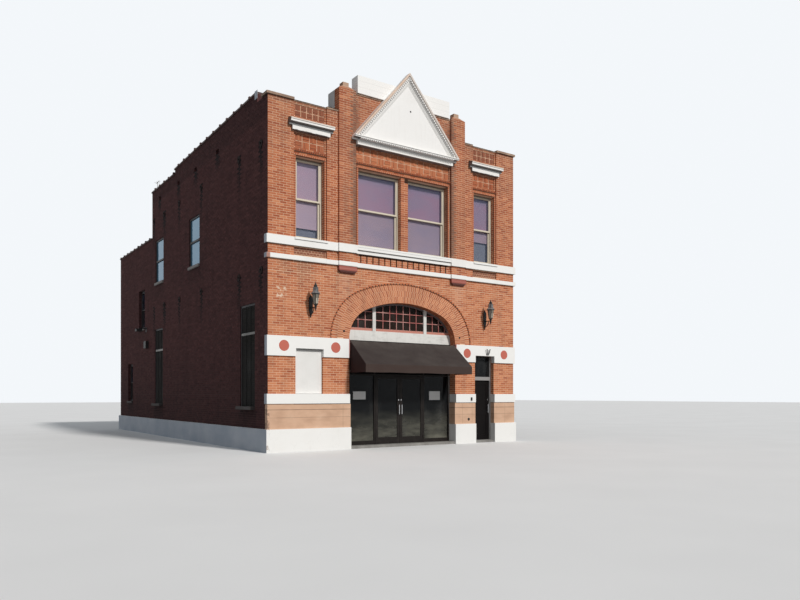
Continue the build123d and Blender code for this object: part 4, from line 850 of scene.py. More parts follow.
def front_soil(x, _, z):
    """Where the front is sooty, above 0, or smeared with pale mortar, below 0."""
    across = abs(x)
    soil = 0.0
    if z > SILL and 1.64 < across < 2.0:
        soil += 0.62 * (1 - abs(across - 1.86) / 0.2)
    if z > SILL and PIER_IN < across < PIER_OUT:
        soil += 0.1
    if 9.2 < z < CENTRE_TOP and across < PIER_IN:
        soil += 0.22
    if 4.5 < z < BELT and -3.8 < x < -3.3:
        soil += 0.45 * (z - 4.5) / 0.92
    if 3.9 < z < 5.25 and 1.85 < across < 2.45:
        soil -= 0.26 * (z - 3.9) / 1.35 * max(0.0, 1 - abs(across - 2.15) / 0.32)
    if 5.0 < z < 5.4 and -4.3 < x < -3.9:
        soil += 0.22
    if z > PARAPET - 0.16 and across > PIER_OUT:
        soil += 0.25
    if z > 8.3 and across > PIER_OUT:
        soil += 0.17 * min(1.0, (z - 8.3) / 0.5)
    if FRIEZE < z < UPPER_BELT and BAY_IN < across < BAY_OUT:
        soil += 0.5
    return soil


def side_soil(_, y, z):
    """Dark runs under the iron plates, the vents and the sills of the long sides, and bricks darker towards
    the foot.
    """
    rust_run, vent_foot, vent_run, sill_run, foot = 1.3, 8.75, 0.71, 0.8, 3.4
    soil = 0.0
    for place in PLATES + (11.23,):
        for height in PLATE_LEVELS:
            if abs(y - place) < 0.12 and height - rust_run < z < height + 0.1:
                soil += 1.3 * (1 - max(0.0, height - z) / rust_run)
    for place in VENTS:
        if abs(y - place) < 0.16 and vent_foot < z < vent_foot + vent_run:
            soil += 1.6 * (z - vent_foot) / vent_run
    for place, width, sill, _ in SIDE_WINDOWS:
        if place - 0.1 < y < place + width + 0.1 and sill - sill_run < z < sill:
            soil += 0.35 * (1 - (sill - z) / sill_run)
    if z > SIDE_LOW - 0.5:
        soil += 0.3
    if z < foot:
        soil += 0.6 * (foot - z) / foot
    return soil


def panel_soil(_x, _y, z):
    """The panels are a little sooty, most of all the low ones in the frieze."""
    if z < UPPER_BELT:
        return 0.5
    return 0.38 if z > HIGH_PANEL[0] - 0.05 else 0.03


class Bricks:
    """Bricks collected from many wall fields into one mesh piece."""

    CORNERS = ((0, 1, 2, 3), (0, 4, 5, 1), (1, 5, 6, 2), (2, 6, 7, 3), (3, 7, 4, 0))

    def __init__(self, seed, soil=None):
        self.random = random.Random(seed)
        self.soil = soil
        self.vertices = []
        self.faces = []
        self.tones = []
        self.soils = []

    def add(self, corners, normal, tone, proud=PROUD):
        """One brick whose face has these four corners, anticlockwise seen from outside."""
        normal = np.asarray(normal, float)
        corners = np.asarray(corners, float)
        lift = proud + self.random.uniform(-UNEVEN, UNEVEN)
        base = len(self.vertices)
        self.vertices += list(corners + normal * lift)
        self.vertices += list(corners - normal * SEAT)
        self.faces += [tuple(base + i for i in face) for face in self.CORNERS]
        self.tones += [min(1.0, max(0.0, tone))] * len(self.CORNERS)
        soil = self.soil(*corners.mean(axis=0)) if self.soil else 0.0
        self.soils += [soil] * len(self.CORNERS)

    def to_street(self, x0, x1, z0, z1, face, tone, proud):
        """One brick with its face to the street."""
        self.add([(x0, face, z0), (x1, face, z0), (x1, face, z1), (x0, face, z1)], (0, -1, 0), tone, proud)

    def field(self, plane, at, sign, left, right, low, high, holes=(), tone=0.0, headers=0):
        """Running bond on the plane x or y = at, facing sign; left and right may be functions of z."""
        for row in range(math.floor(low / COURSE), math.ceil(high / COURSE)):
            bottom, top = max(low, row * COURSE + JOINT / 2), min(high, (row + 1) * COURSE - JOINT / 2)
            marks = sorted({bottom, top, *[z for hole in holes for z in hole[2:4] if bottom < z < top]})
            unit = LENGTH / 2 if headers and row % headers == 0 else LENGTH
            shift = unit / 2 if row % 2 == 0 else 0.0
            for z0, z1 in zip(marks, marks[1:]):
                if z1 - z0 < SLIVER:
                    continue
                spans = [(left, right)]
                for u0, u1, hole_low, hole_high in holes:
                    if hole_low < (z0 + z1) / 2 < hole_high:
                        spans = outside(spans, u0, u1, (z0 + z1) / 2)
                for a, b in spans:
                    self.run(plane, at, sign, a, b, z0, z1, unit, shift, tone)

    def run(self, plane, at, sign, a, b, z0, z1, unit, shift, tone):
        """The bricks of one course between two edges, with no slivers at the ends."""
        a0, a1, b0, b1 = level(a, z0), level(a, z1), level(b, z0), level(b, z1)
        if max(b0 - a0, b1 - a1) < GAP_LEFT:
            return
        first = math.floor((min(a0, a1) + shift) / unit)
        last = math.ceil((max(b0, b1) + shift) / unit)
        cuts = []
        for k in range(first, last):
            cuts.append([k * unit - shift + JOINT / 2, (k + 1) * unit - shift - JOINT / 2])
        low, high = max(a0, a1), min(b0, b1)
        while len(cuts) > 1 and cuts[0][1] < low + END_PIECE:
            cuts[1][0] = cuts[0][0]
            cuts.pop(0)
        while len(cuts) > 1 and cuts[-1][0] > high - END_PIECE:
            cuts[-2][1] = cuts[-1][1]
            cuts.pop()
        for c0, c1 in cuts:
            lower = [max(c0, a0), min(c1, b0)]
            upper = [max(c0, a1), min(c1, b1)]
            if max(lower[1] - lower[0], upper[1] - upper[0]) < BRICK_LEFT:
                continue
            for edge in (lower, upper):
                if edge[1] - edge[0] < 2 * POINT:
                    middle = min(max((edge[0] + edge[1]) / 2, c0 + POINT), c1 - POINT)
                    edge[0], edge[1] = middle - POINT, middle + POINT
            self.brick(plane, at, sign, lower, upper, z0, z1, tone)

    def brick(self, plane, at, sign, lower, upper, z0, z1, tone):
        """One brick of a course, with a tone of its own."""
        flat = [(lower[0], z0), (lower[1], z0), (upper[1], z1), (upper[0], z1)]
        if plane == "y":
            corners = [(u, at, z) for u, z in flat]
            normal = (0, sign, 0)
            turned = sign > 0
        else:
            corners = [(at, u, z) for u, z in flat]
            normal = (sign, 0, 0)
            turned = sign < 0
        shade = self.random.gauss(0.5 + tone, TONE_SPREAD)
        if self.random.random() < BURNT_SHARE:
            shade -= BURNT
        self.add(corners[::-1] if turned else corners, normal, shade)

    def make(self, name, finish, slot):
        return piece(name, self.vertices, self.faces, finish,
                     shares={"tone": self.tones, "soil": self.soils})


class Arch:
    """A three-centred arch standing on the springing line."""

    def __init__(self, half, rise, corner):
        self.corner = corner
        self.corner_x = half - corner
        self.crown = (self.corner_x**2 + rise**2 - corner**2) / (2 * (rise - corner))
        self.drop = self.crown - rise
        reach = math.hypot(self.corner_x, self.drop)
        self.join = (self.crown * self.corner_x / reach, self.crown * self.drop / reach - self.drop)
        corner_turn = math.atan2(self.join[1], self.join[0] - self.corner_x)
        self.crown_turn = math.atan2(self.join[0], self.join[1] + self.drop)
        self.corner_length = corner * corner_turn
        self.length = 2 * (self.corner_length + self.crown * self.crown_turn)

    def half_width(self, z):
        """Half of the span at a height above the ground."""
        up = z - SPRING
        if up <= self.join[1]:
            return self.corner_x + math.sqrt(max(0.0, self.corner**2 - up**2))
        return math.sqrt(max(0.0, self.crown**2 - (up + self.drop) ** 2))

    def point(self, share):
        """The point a share of the way round from the left springing, and the outward direction."""
        way = share * self.length
        side = -1
        if way > self.length / 2:
            way = self.length - way
            side = 1
        if way < self.corner_length:
            turn = way / self.corner
            out = (math.cos(turn), math.sin(turn))
            x, z = self.corner_x + self.corner * out[0], self.corner * out[1]
        else:
            turn = self.crown_turn - (way - self.corner_length) / self.crown
            out = (math.sin(turn), math.cos(turn))
            x, z = self.crown * out[0], self.crown * out[1] - self.drop
        return side * x, SPRING + z, side * out[0], out[1]


INNER_ARCH, OUTER_ARCH = (2.02, 1.21, 1.0), (2.63, 1.78, 1.56)  # half span, rise, corner radius
HOOD_WIDTH, HOOD_PROUD, TRIM_WIDTH = 0.036, 0.02, 0.055
INNER = Arch(*INNER_ARCH)
OUTER = Arch(*OUTER_ARCH)
HOOD = Arch(*[size + HOOD_WIDTH for size in OUTER_ARCH])
TRIM = Arch(*[size - TRIM_WIDTH for size in INNER_ARCH])


def rake(z):
    """Half of the gable's width at a height, a little inside its outer edge."""
    return GABLE_HALF * (GABLE_TIP - z) / (GABLE_TIP - GABLE_EAVE) - 0.04


def mirrored(side, *ends):
    """Two distances from the middle of the front as limits along x, on one side of it."""
    return sorted(side * end for end in ends)


def front_bricks():
    """All face brick of the street front."""
    b = Bricks(11, front_soil)
    edge = HALF + PROUD

    def face(left, right, low, high, at=0.0, holes=(), tone=0.0):
        b.field("y", at, -1, left, right, low, high, holes, tone)

    crown = SPRING + OUTER_ARCH[1] + HOOD_WIDTH
    face(-edge, -INNER_ARCH[0], PIER_BRICK_LOW, BAND_LOW, holes=[BOARD], tone=0.2)
    face(INNER_ARCH[0], DOORWAY[0], PIER_BRICK_LOW, BAND_LOW, tone=0.2)
    face(DOORWAY[1], edge, PIER_BRICK_LOW, BAND_LOW, tone=0.2)
    face(-edge, lambda z: -HOOD.half_width(z), SPRING, crown, tone=0.2)
    face(HOOD.half_width, edge, SPRING, crown, tone=0.2)
    face(-edge, edge, crown + 0.004, BELT, tone=0.2)
    places = [(k - (SLOT_COUNT - 1) / 2) * SLOT_PITCH for k in range(SLOT_COUNT)]
    slots = [(x - SLOT_HALF, x + SLOT_HALF, SLOT_FOOT, UPPER_BELT) for x in places]
    face(-PIER_IN, PIER_IN, FRIEZE, UPPER_BELT, holes=slots)
    band = (BAY_IN, BAY_OUT)
    inner = (BAY_IN + BASKET_EDGE, BAY_OUT - BASKET_EDGE)
    bay_holes = ((BAY_LIGHT[0] - ROLL, BAY_LIGHT[1] + ROLL, SILL, HEAD + ROLL), (*band, *LABEL),
                 (*inner, *BASKET),
                 (*band, *CORNICE), (*inner, *HIGH_PANEL))
    for side in (-1, 1):
        for u0, u1, low, high, at, holes, tone in (
            (PIER_OUT, BAY_IN, FRIEZE, UPPER_BELT, 0.0, (), 0.0),
            (BAY_OUT, edge, FRIEZE, UPPER_BELT, 0.0, (), 0.0),
            (PIER_IN, PIER_OUT, FRIEZE, UPPER_BELT, PIER_FACE, (), 0.0),
            (PIER_OUT, BAY_IN, SILL, PARAPET, 0.0, (), -0.1),
            (BAY_OUT, edge, SILL, PARAPET, 0.0, (), -0.06),
            (BAY_IN, BAY_OUT, SILL, PARAPET, BAY_FACE, bay_holes, -0.08),
            (PIER_IN, PIER_OUT, SILL, PIER_TOP, PIER_FACE, (), -0.12),
        ):
            face(*mirrored(side, u0, u1), low, high, at, [(*mirrored(side, *h[:2]), *h[2:]) for h in holes],
                 tone)
    window = (-CENTRE_LIGHT - ROLL, CENTRE_LIGHT + ROLL, SILL, HEAD + ROLL)
    holes = [window, (-PIER_IN, PIER_IN, *LABEL), (-BASKET_HALF, BASKET_HALF, *BASKET)]
    face(-PIER_IN, PIER_IN, HEAD, 9.07, CENTRE_FACE, holes, -0.08)
    face(-MULLION, MULLION, SILL, HEAD, MULLION_FACE, tone=-0.1)
    face(-PIER_IN, lambda z: -rake(z), GABLE_EAVE + 0.2, CENTRE_TOP, CENTRE_FACE, tone=-0.15)
    face(rake, PIER_IN, GABLE_EAVE + 0.2, CENTRE_TOP, CENTRE_FACE, tone=-0.15)
    for side in (-1, 1):
        b.field("x", side * PIER_OUT, side, PIER_FACE, 0.21, PARAPET + 0.06, PIER_TOP, tone=-0.2)
        b.field("x", side * PIER_IN, -side, PIER_FACE, CENTRE_FACE, SILL, PIER_TOP, tone=-0.3)
        b.field("x", side * PIER_OUT, side, PIER_FACE, 0.0, SILL, PARAPET, tone=-0.2)
    b.make("front_face_bricks", "front_bricks", "front_brick")


def between_arches(share, out):
    """A point of the ring, a share of the way round and a share of the way out."""
    x0, z0, _, _ = INNER.point(share)
    x1, z1, _, _ = OUTER.point(share)
    return x0 + (x1 - x0) * out, z0 + (z1 - z0) * out


def staggered(count, row, gap):
    """Each brick of a row round the arch with its two ends; odd rows are moved by half a brick."""
    stagger = 0.5 if row % 2 else 0.0
    for k in range(-1, count):
        s0, s1 = max(0.0, (k + stagger) / count) + gap, min(1.0, (k + 1 + stagger) / count) - gap
        if s1 - s0 >= 0.003:
            yield k, s0, s1


def arch_bricks():
    """The ring's three rows of bricks on end, the header course over it, and the bricks of the soffit."""
    b = Bricks(12)
    rows = 3
    ring_count, header_count, soffit_count = 92, 64, 78
    ring_gap, soffit_gap = 0.65 * JOINT / 6.2, JOINT / 2 / INNER.length
    for row in range(rows):
        r0 = 0.0 if row == 0 else row / rows + 0.004
        r1 = 1.0 if row == rows - 1 else (row + 1) / rows - 0.004
        for k, s0, s1 in staggered(ring_count, row, ring_gap):
            corners = [between_arches(s, r) for s, r in ((s1, r0), (s1, r1), (s0, r1), (s0, r0))]
            b.add([(x, 0.0, z) for x, z in corners], (0, -1, 0), b.random.gauss(0.85 - 0.35 * (k % 2), 0.2))
    for k in range(header_count):
        s0, s1 = (k + 0.18) / header_count, (k + 0.82) / header_count
        corners = []
        for share, rim in ((s1, OUTER), (s1, HOOD), (s0, HOOD), (s0, OUTER)):
            x, z, _, _ = rim.point(share)
            corners.append((x, -HOOD_PROUD, z))
        b.add(corners, (0, -1, 0), b.random.gauss(0.45, 0.15), 0.01)
    for line, (y0, y1) in enumerate(((0.0, 0.098), (0.108, 0.206), (0.216, 0.253))):
        for k, s0, s1 in staggered(soffit_count, line, soffit_gap):
            x0, z0, nx0, nz0 = INNER.point(s0)
            x1, z1, nx1, nz1 = INNER.point(s1)
            normal = np.array([-(nx0 + nx1) / 2, 0, -(nz0 + nz1) / 2])
            normal /= np.linalg.norm(normal)
            b.add([(x0, y0, z0), (x1, y0, z1), (x1, y1, z1), (x0, y1, z0)], normal,
                  b.random.gauss(0.4, 0.18))
    b.make("arch_bricks", "front_bricks", "front_brick")


def hood_gap_shade():
    """Painted shade in the open joints under the hood's headers, as a dark thin ribbon on the hood's face."""
    steps = 160
    vertices = []
    for k in range(steps + 1):
        for rim in (OUTER, HOOD):
            x, z, _, _ = rim.point(k / steps)
            vertices.append((x, -HOOD_PROUD - 0.0015, z))
    piece("hood_gap_shade_ribbon", vertices, grid_faces(steps, 1), "joint")


def label_bricks():
    """Bricks on end with open joints along the label courses, over the windows of the upper front."""
    b = Bricks(14)
    out, gap = 0.03, 0.01
    for x0, x1, face in ((-PIER_IN, PIER_IN, CENTRE_FACE), (BAY_IN, BAY_OUT, BAY_FACE),
                         (-BAY_OUT, -BAY_IN, BAY_FACE)):
        count = round((x1 - x0) / ON_END)
        pitch = (x1 - x0) / count
        for k in range(count):
            left, right = x0 + k * pitch + gap, x0 + (k + 1) * pitch - gap
            tone = b.random.gauss(0.1, 0.15)
            b.to_street(left, right, LABEL[0] + 0.016, LABEL[1] - gap, face - out, tone, 0.007)
    b.make("label_bricks", "front_bricks", "front_brick")


def basket_panels():
    """Square baskets of bricks, turned by quarters, in the shallow panels of the upper front."""
    b = Bricks(13, panel_soil)
    beds = []
    parts, rows, wide_gap, close_gap = 3, 2, 0.012, 0.004

    def panel(x0, x1, z0, z1, face, unit, tone):
        """Baskets of about unit width over one panel."""
        columns = max(1, round((x1 - x0) / unit))
        wide, tall = (x1 - x0) / columns, (z1 - z0) / rows
        beds.append((x0, x1, z0, z1, face))
        for row in range(rows):
            for column in range(columns):
                u, w = x0 + column * wide, z0 + row * tall
                for k in range(parts):
                    near = wide_gap if k == 0 else close_gap
                    far = wide_gap if k == parts - 1 else close_gap
                    if (row + column) % 2:
                        a0, a1 = u + wide * k / parts + near, u + wide * (k + 1) / parts - far
                        c0, c1 = w + wide_gap, w + tall - wide_gap
                    else:
                        a0, a1 = u + wide_gap, u + wide - wide_gap
                        c0, c1 = w + tall * k / parts + near, w + tall * (k + 1) / parts - far
                    b.to_street(a0, a1, c0, c1, face, b.random.gauss(tone, 0.16), 0.018 if k == 1 else 0.008)

    panel(-BASKET_HALF, BASKET_HALF, *BASKET, CENTRE_FACE + PANEL_SET, 0.25, 0.62)
    for side in (-1, 1):
        ends = mirrored(side, BAY_IN + BASKET_EDGE, BAY_OUT - BASKET_EDGE)
        panel(*ends, *BASKET, BAY_FACE + PANEL_SET, 0.25, 0.28)
        panel(*ends, *HIGH_PANEL, BAY_FACE + PANEL_SET, 0.19, -0.15)
        left, right = mirrored(side, BAY_IN, BAY_OUT)
        b.field("y", BAY_FACE, -1, left + 0.02, right - 0.02, FRIEZE + 0.005, UPPER_BELT - 0.005, (), -0.45,
                1)
        beds.append((left + 0.01, right - 0.01, FRIEZE + 0.003, UPPER_BELT - 0.003, BAY_FACE + 0.0015))
    vertices, faces = [], []
    for x0, x1, z0, z1, face in beds:
        base = len(vertices)
        vertices += [(x0, face - 0.002, z0), (x1, face - 0.002, z0), (x1, face - 0.002, z1),
                     (x0, face - 0.002, z1)]
        faces.append((base, base + 1, base + 2, base + 3))
    piece("basket_panel_mortar", vertices, faces, "mortar")
    b.make("basket_panel_bricks", "front_bricks", "front_brick")


HEADERS = 7  # every seventh course of the sides and back is laid as headers


def side_bricks(side):
    """The face brick of one long side, from the front corner to the back."""
    b = Bricks(20 + side, side_soil)
    holes = [(y, y + w, z, z + h) for y, w, z, h in SIDE_WINDOWS]
    holes += [(y - 0.13, y + 0.13, 9.375, 9.525) for y in VENTS]
    courses = ((BASE, PIER_BRICK_LOW), (BAND_LOW, SPRING), (BELT, FRIEZE), (UPPER_BELT, SILL))
    holes += [(-1, 0.12, low, high) for low, high in courses]
    at = side * HALF

    def slope(z):
        """How far back the falling parapet still reaches a height."""
        share = min(1.0, max(0.0, (SIDE_TOP - z) / SIDE_FALL))
        return SIDE_START + share * (SIDE_STEP - SIDE_START)

    b.field("x", at, side, 0.0, MAIN_DEPTH, BASE, SIDE_LOW, holes, headers=HEADERS)
    b.field("x", at, side, 0.0, SIDE_START, SIDE_LOW, PARAPET, headers=HEADERS)
    b.field("x", at, side, SIDE_START, slope, SIDE_LOW, SIDE_TOP, headers=HEADERS)
    b.field("x", at, side, MAIN_DEPTH, DEPTH, BASE, REAR_TOP, holes, headers=HEADERS)
    b.make("side_bricks_" + ("left" if side < 0 else "right"), "side_bricks", "red_brick")


def back_bricks():
    """The face brick of both back walls."""
    b = Bricks(31)
    holes = []
    for centre in (-2.2, 2.2):
        for _, width, sill, height in SIDE_WINDOWS[4:]:
            holes.append((centre - width / 2, centre + width / 2, sill, sill + height))
    edge = HALF + PROUD
    b.field("y", DEPTH, 1, -edge, edge, BASE, REAR_TOP, holes, headers=HEADERS)
    b.field("y", MAIN_DEPTH, 1, -edge, edge, REAR_TOP + 0.06, SIDE_LOW, headers=HEADERS)
    b.make("back_bricks", "side_bricks", "red_brick")


def roundels():
    """Thin rimmed discs on the painted band."""
    parts = Parts()
    profile = ((0.155, 0.0), (0.155, 0.0025), (0.1525, 0.004), (0.14, 0.004), (0.136, 0.0028),
               (0.004, 0.0028))
    for x in (-4.15, -2.5, 2.5, 4.15):
        parts.turned((x, -0.045, 2.995), profile, 48)
    parts.make("roundels", "roundel", "red_paint")


def dentils():
    """Small blocks under the crown of the gable cornice, level and up both rakes."""
    parts = Parts()
    half, pitch = 1.78, 0.068
    for k in range(int(2 * half / pitch)):
        x = -half + (k + 0.25) * pitch
        parts.block((x, -0.285, 9.212), (x + 0.036, -0.149, 9.2445), 0.002)
    along = Vector((GABLE_HALF, 0, GABLE_TIP - GABLE_EAVE)) / RAKE_LENGTH
    inward = Vector((along.z, 0, -along.x))
    pitch = 0.078
    for side in (-1, 1):
        for k in range(int((RAKE_LENGTH - 0.2) / pitch)):
            start = Vector((-GABLE_HALF, 0, GABLE_EAVE)) + along * (0.16 + k * pitch) + inward * 0.088
            corners = []
            for a, b in ((0, 0), (0.043, 0), (0.043, 0.044), (0, 0.044)):
                point = start + along * a + inward * b
                corners.append((point.x * -side, -0.276, point.z))
            parts.prism(corners, (0, 0.027, 0), 0.0015)
    parts.make("gable_dentils", "gable_white", "white_paint")


def gable_fixture():
    """A small dark round fitting on the gable's panel."""
    parts = Parts()
    parts.turned((0.1, -0.155, 10.45),
                 ((0.03, 0.0), (0.03, 0.012), (0.024, 0.02), (0.016, 0.034), (0.004, 0.038)),
                 20)
    parts.make("gable_fixture", "black", "black_iron")


def window_shades():
    """Rollers with hanging cloth behind the upper glass."""
    rollers = Parts()
    bay = (BAY_LIGHT[0] + 0.01, BAY_LIGHT[1] - 0.01)
    centre = (MULLION + 0.01, CENTRE_LIGHT - 0.01)
    head, sill, near, deep = 8.36, 6.12, 0.289, 0.345
    margin, across, down = 0.004, 28, 44
    lights = (
        (*mirrored(-1, *bay), 6.42, near, "shade"), (*mirrored(-1, *centre), sill, near, "shade"),
        (*centre, sill, near, "shade"), (*bay, 6.83, near, "shade"),
        # The deeper grey cloths behind the bays are painted reflections on their lower glass
        (*mirrored(-1, *bay), sill, deep, "low_shade"), (*bay, sill, deep, "low_shade"),
    )
    for index, (left, right, foot, face, finish) in enumerate(lights):
        rollers.tube([(left, face + 0.021, head), (right, face + 0.021, head)], 0.02, 12)
        vertices = []
        for row in range(down + 1):
            share = row / down
            for k in range(across + 1):
                x = left + margin + (right - left - 2 * margin) * k / across
                wave = 0.003 * math.sin(x * 7 + index) * share + 0.001 * math.sin(x * 31 + index * 2) * share
                vertices.append((x, face + wave, head - (head - foot) * share))
        cloth_piece = piece(f"shade_{index + 1}", vertices, grid_faces(down, across), finish,
                            smooth=True)
    rollers.make("shade_rollers", "cream", "cream_paint")


def sash_gap_shade():
    """Dark strips of painted shade in the open joints around the sashes of the upper windows, and under their
    meeting rails.
    """
    parts = Parts()
    for side in (-1, 1):
        for inner, outer in ((MULLION, CENTRE_LIGHT), BAY_LIGHT):
            a, b = mirrored(side, inner, outer)
            left, right = a + 0.052, b - 0.052
            for low, high, y in ((7.224, 8.348, 0.184), (6.122, 7.224, 0.229)):
                for x in (left, right):
                    parts.block((x - 0.0035, y - 0.0035, low), (x + 0.0035, y + 0.004, high), 0.001)
            parts.block((left, 0.1805, 8.345), (right, 0.188, 8.352), 0.001)
            parts.block((a + 0.055, 0.2225, 7.196), (b - 0.055, 0.229, 7.222), 0.001)
            parts.block((left, 0.2255, 6.119), (right, 0.233, 6.126), 0.001)
    parts.make("sash_gap_shade", "joint", "cream_paint")


def side_panes():
    """Outer sashes near the face of the long walls: panes above, blue with a painted sky reflection, and
    slatted dark shutters below.
    """
    frames, panes, slats, shade_backs, rails = Parts(), Parts(), Parts(), Parts(), Parts()
    rng = random.Random(42)
    stile, half_rail, gap, margin = 0.06, 0.034, 0.002, 0.001
    depth, frame_depth, rail_depth = 4.5605, (4.545, 4.595), (4.55, 4.602)  # from the middle of the building
    slat_pitch, slat_end, bar_half = 0.052, 0.003, 0.01
    slat_outline = ((0.002, 0.02), (0.006, 0.022), (0.028, -0.018), (0.024, -0.021))
    for side in (-1, 1):
        def put(parts, x, y, z, edge):
            near, far = mirrored(side, *x)
            parts.block((near, y[0], z[0]), (far, y[1], z[1]), edge)

        for place, width, sill, height in SIDE_WINDOWS[:4]:
            y0, y1, z0, z1 = place + gap, place + width - gap, sill + gap, sill + height - gap
            shuttered = height > 2.0
            middle = 3.4 if shuttered else 6.975
            a, b = y0 + stile, y1 - stile
            tall, across = (z0, z1), (a, b)
            top, bottom = (z1 - stile, z1), (z0, z0 + stile)
            for y, z in (((y0, a), tall), ((b, y1), tall), (across, top), (across, bottom)):
                put(frames, frame_depth, y, z, 0.003)
            rail = (middle - half_rail, middle + half_rail)
            put(rails if shuttered else frames, rail_depth, across, rail, 0.003)
            inside = (a + margin, b - margin)
            for foot, head in ((z0 + stile, rail[0]), (rail[1], z1 - stile)):
                if not shuttered:
                    pane_top = head - margin - rng.uniform(0.0, 0.004)
                    put(panes, (depth, depth + 0.0025), inside, (foot + margin, pane_top), 0.0008)
                    continue
                # A dark sheet behind the slats: painted shade of the room behind
                put(shade_backs, (depth, depth + 0.0013), inside, (foot + margin, head - margin), 0.0008)
                count = int((head - foot) / slat_pitch)
                for k in range(count):
                    z = foot + (k + 0.5) * (head - foot) / count
                    droop = rng.uniform(-0.002, 0.002)
                    outline = []
                    for out, up in slat_outline:
                        outline.append((side * (depth + out), a + slat_end, z + up + droop))
                    slats.prism(outline, (0, b - a - 2 * slat_end, 0), 0.0)
                for share in (0.333, 0.667):
                    y = a + (b - a) * share
                    put(slats, (depth, depth + 0.031), (y - bar_half, y + bar_half),
                        (foot + gap, head - gap), 0.002)
    frames.make("side_outer_frames", "dark_frame", "dark_window_paint")
    panes.make("side_sky_panes", "sky_glass", "window_glass")
    slats.make("side_shutter_slats", "louvre", "dark_window_paint")
    shade_backs.make("side_shutter_shade_backs", "joint", "dark_window_paint")
    rails.make("side_meeting_rails", "grey_rail", "dark_window_paint")


def notices():
    """Blank notices behind the sidelights' glass."""
    parts = Parts()
    for left, right, low, high in ((-1.7, -1.25, 1.47, 1.715), (1.185, 1.63, 1.445, 1.73)):
        parts.block((left, 0.3165, low), (right, 0.3205, high), 0.001)
    parts.make("blank_notices", "paper", "storefront_metal")


def board_facing():
    """The sheet nailed over the boarded window, short of the band above it."""
    parts = Parts()
    parts.block((-3.774, 0.066, 1.646), (-2.906, 0.0995, 2.896), 0.003)
    for x in (-3.74, -3.34, -2.94):
        for z in (1.7, 2.1, 2.5, 2.86):
            parts.turned((x, 0.0662, z), ((0.006, 0.0), (0.0055, 0.0015), (0.002, 0.002)), 10)
    parts.make("board_facing", "board", "board_paint")


def fanlight_shade_sheet():
    """A dark, nearly opaque sheet just in front of the fanlight's glass, cut to the arch: painted shade of
    the room behind.
    """
    rows, columns, margin = 14, 48, 0.004
    low, high, half = 3.668, SPRING + INNER_ARCH[1] - 0.062, 1.93
    vertices = []
    for row in range(rows + 1):
        z = low + (high - margin - low) * row / rows
        reach = min(half, TRIM.half_width(z) - margin)
        vertices += [(-reach + 2 * reach * k / columns, 0.304, z) for k in range(columns + 1)]
    piece("fanlight_shade_sheet", vertices, grid_faces(rows, columns), "fan_glass")


def door_fittings():
    """The floodlight over the side door, a keypad, a round plate, the arch's bolts and a conduit."""
    lamp = Parts()
    lamp.block((3.34, -0.075, 2.965), (3.45, -0.0452, 3.015), 0.004)
    head = ((0.012, 0.0), (0.015, 0.015), (0.016, 0.13), (0.021, 0.165), (0.017, 0.165), (0.015, 0.158))
    for x, lean in ((3.362, -0.22), (3.428, 0.22)):
        lamp.tube([(x, -0.07, 2.99), (x, -0.085, 3.005)], 0.008, 10)
        lamp.turned((x, -0.085, 3.0), head, 18, Vector((lean, -0.12, 1.0)).normalized())
    lamp.make("door_floodlight", "lamp", "black_iron")
    small = Parts()
    small.block((2.645, -0.085, 1.42), (2.7, -0.0555, 1.53), 0.004)
    for row in range(4):
        for column in range(3):
            x, z = 2.656 + column * 0.0125, 1.435 + row * 0.018
            small.block((x, -0.0865, z), (x + 0.008, -0.0845, z + 0.011), 0.0008)
    small.turned((2.575, -0.0305, 0.8), ((0.046, 0.0), (0.046, 0.008), (0.036, 0.014), (0.004, 0.015)), 20)
    bolt = ((0.034, 0.0), (0.034, 0.006), (0.026, 0.01), (0.016, 0.012), (0.016, 0.022), (0.004, 0.024))
    for x in (-2.2, 2.2):
        small.turned((x, -0.004, 3.5), bolt, 16)
    small.make("keypad_and_bolts", "black", "black_iron")
    strip = Parts()
    strip.tube([(1.99, 0.284, 0.205), (1.99, 0.284, 2.24)], 0.011, 12)
    for z in (0.5, 1.2, 1.9):
        strip.block((1.974, 0.272, z), (2.006, 0.3, z + 0.02), 0.003)
    strip.make("jamb_conduit", "grey_rail", "storefront_metal")


def lantern_panes():
    """Smoked panes between the lanterns' bars, with pale strips at the front: painted highlights that stand
    for the bulbs behind the glass.
    """
    panes, glints = Parts(), Parts()
    turns = [2 * math.pi * (k + 0.5) / 6 for k in range(6)]
    corners = [(math.sin(turn), -math.cos(turn)) for turn in turns]
    foot, foot_radius, head_radius, height = 4.16, 0.068, 0.115, 0.31
    for side in (-1, 1):
        centre = Vector((side * LANTERN_X, LANTERN_Y, 0))
        for (x0, y0), (x1, y1) in zip(corners, corners[1:] + corners[:1]):
            outline = []
            for share, z in ((0.12, 4.178), (0.88, 4.178), (0.88, 4.452), (0.12, 4.452)):
                radius = foot_radius + (head_radius - foot_radius) * (z - foot) / height + 0.0004
                across = Vector((x0 + (x1 - x0) * share, y0 + (y1 - y0) * share, 0)) * radius
                outline.append(centre + across + Vector((0, 0, z)))
            panes.prism(outline, Vector(((x0 + x1) / 2, (y0 + y1) / 2, 0)).normalized() * 0.0022, 0.0)
        for x, y in ((-0.028, -0.088), (0.026, -0.09)):
            points = [centre + Vector((x * 0.8, y * 0.86, 4.2)), centre + Vector((x * 1.02, y * 1.04, 4.34))]
            glints.tube(points, 0.009, 12)
    panes.make("lantern_panes", "lantern_glass", "black_iron")
    glints.make("lantern_glint_strips", "lantern_glint", "black_iron")


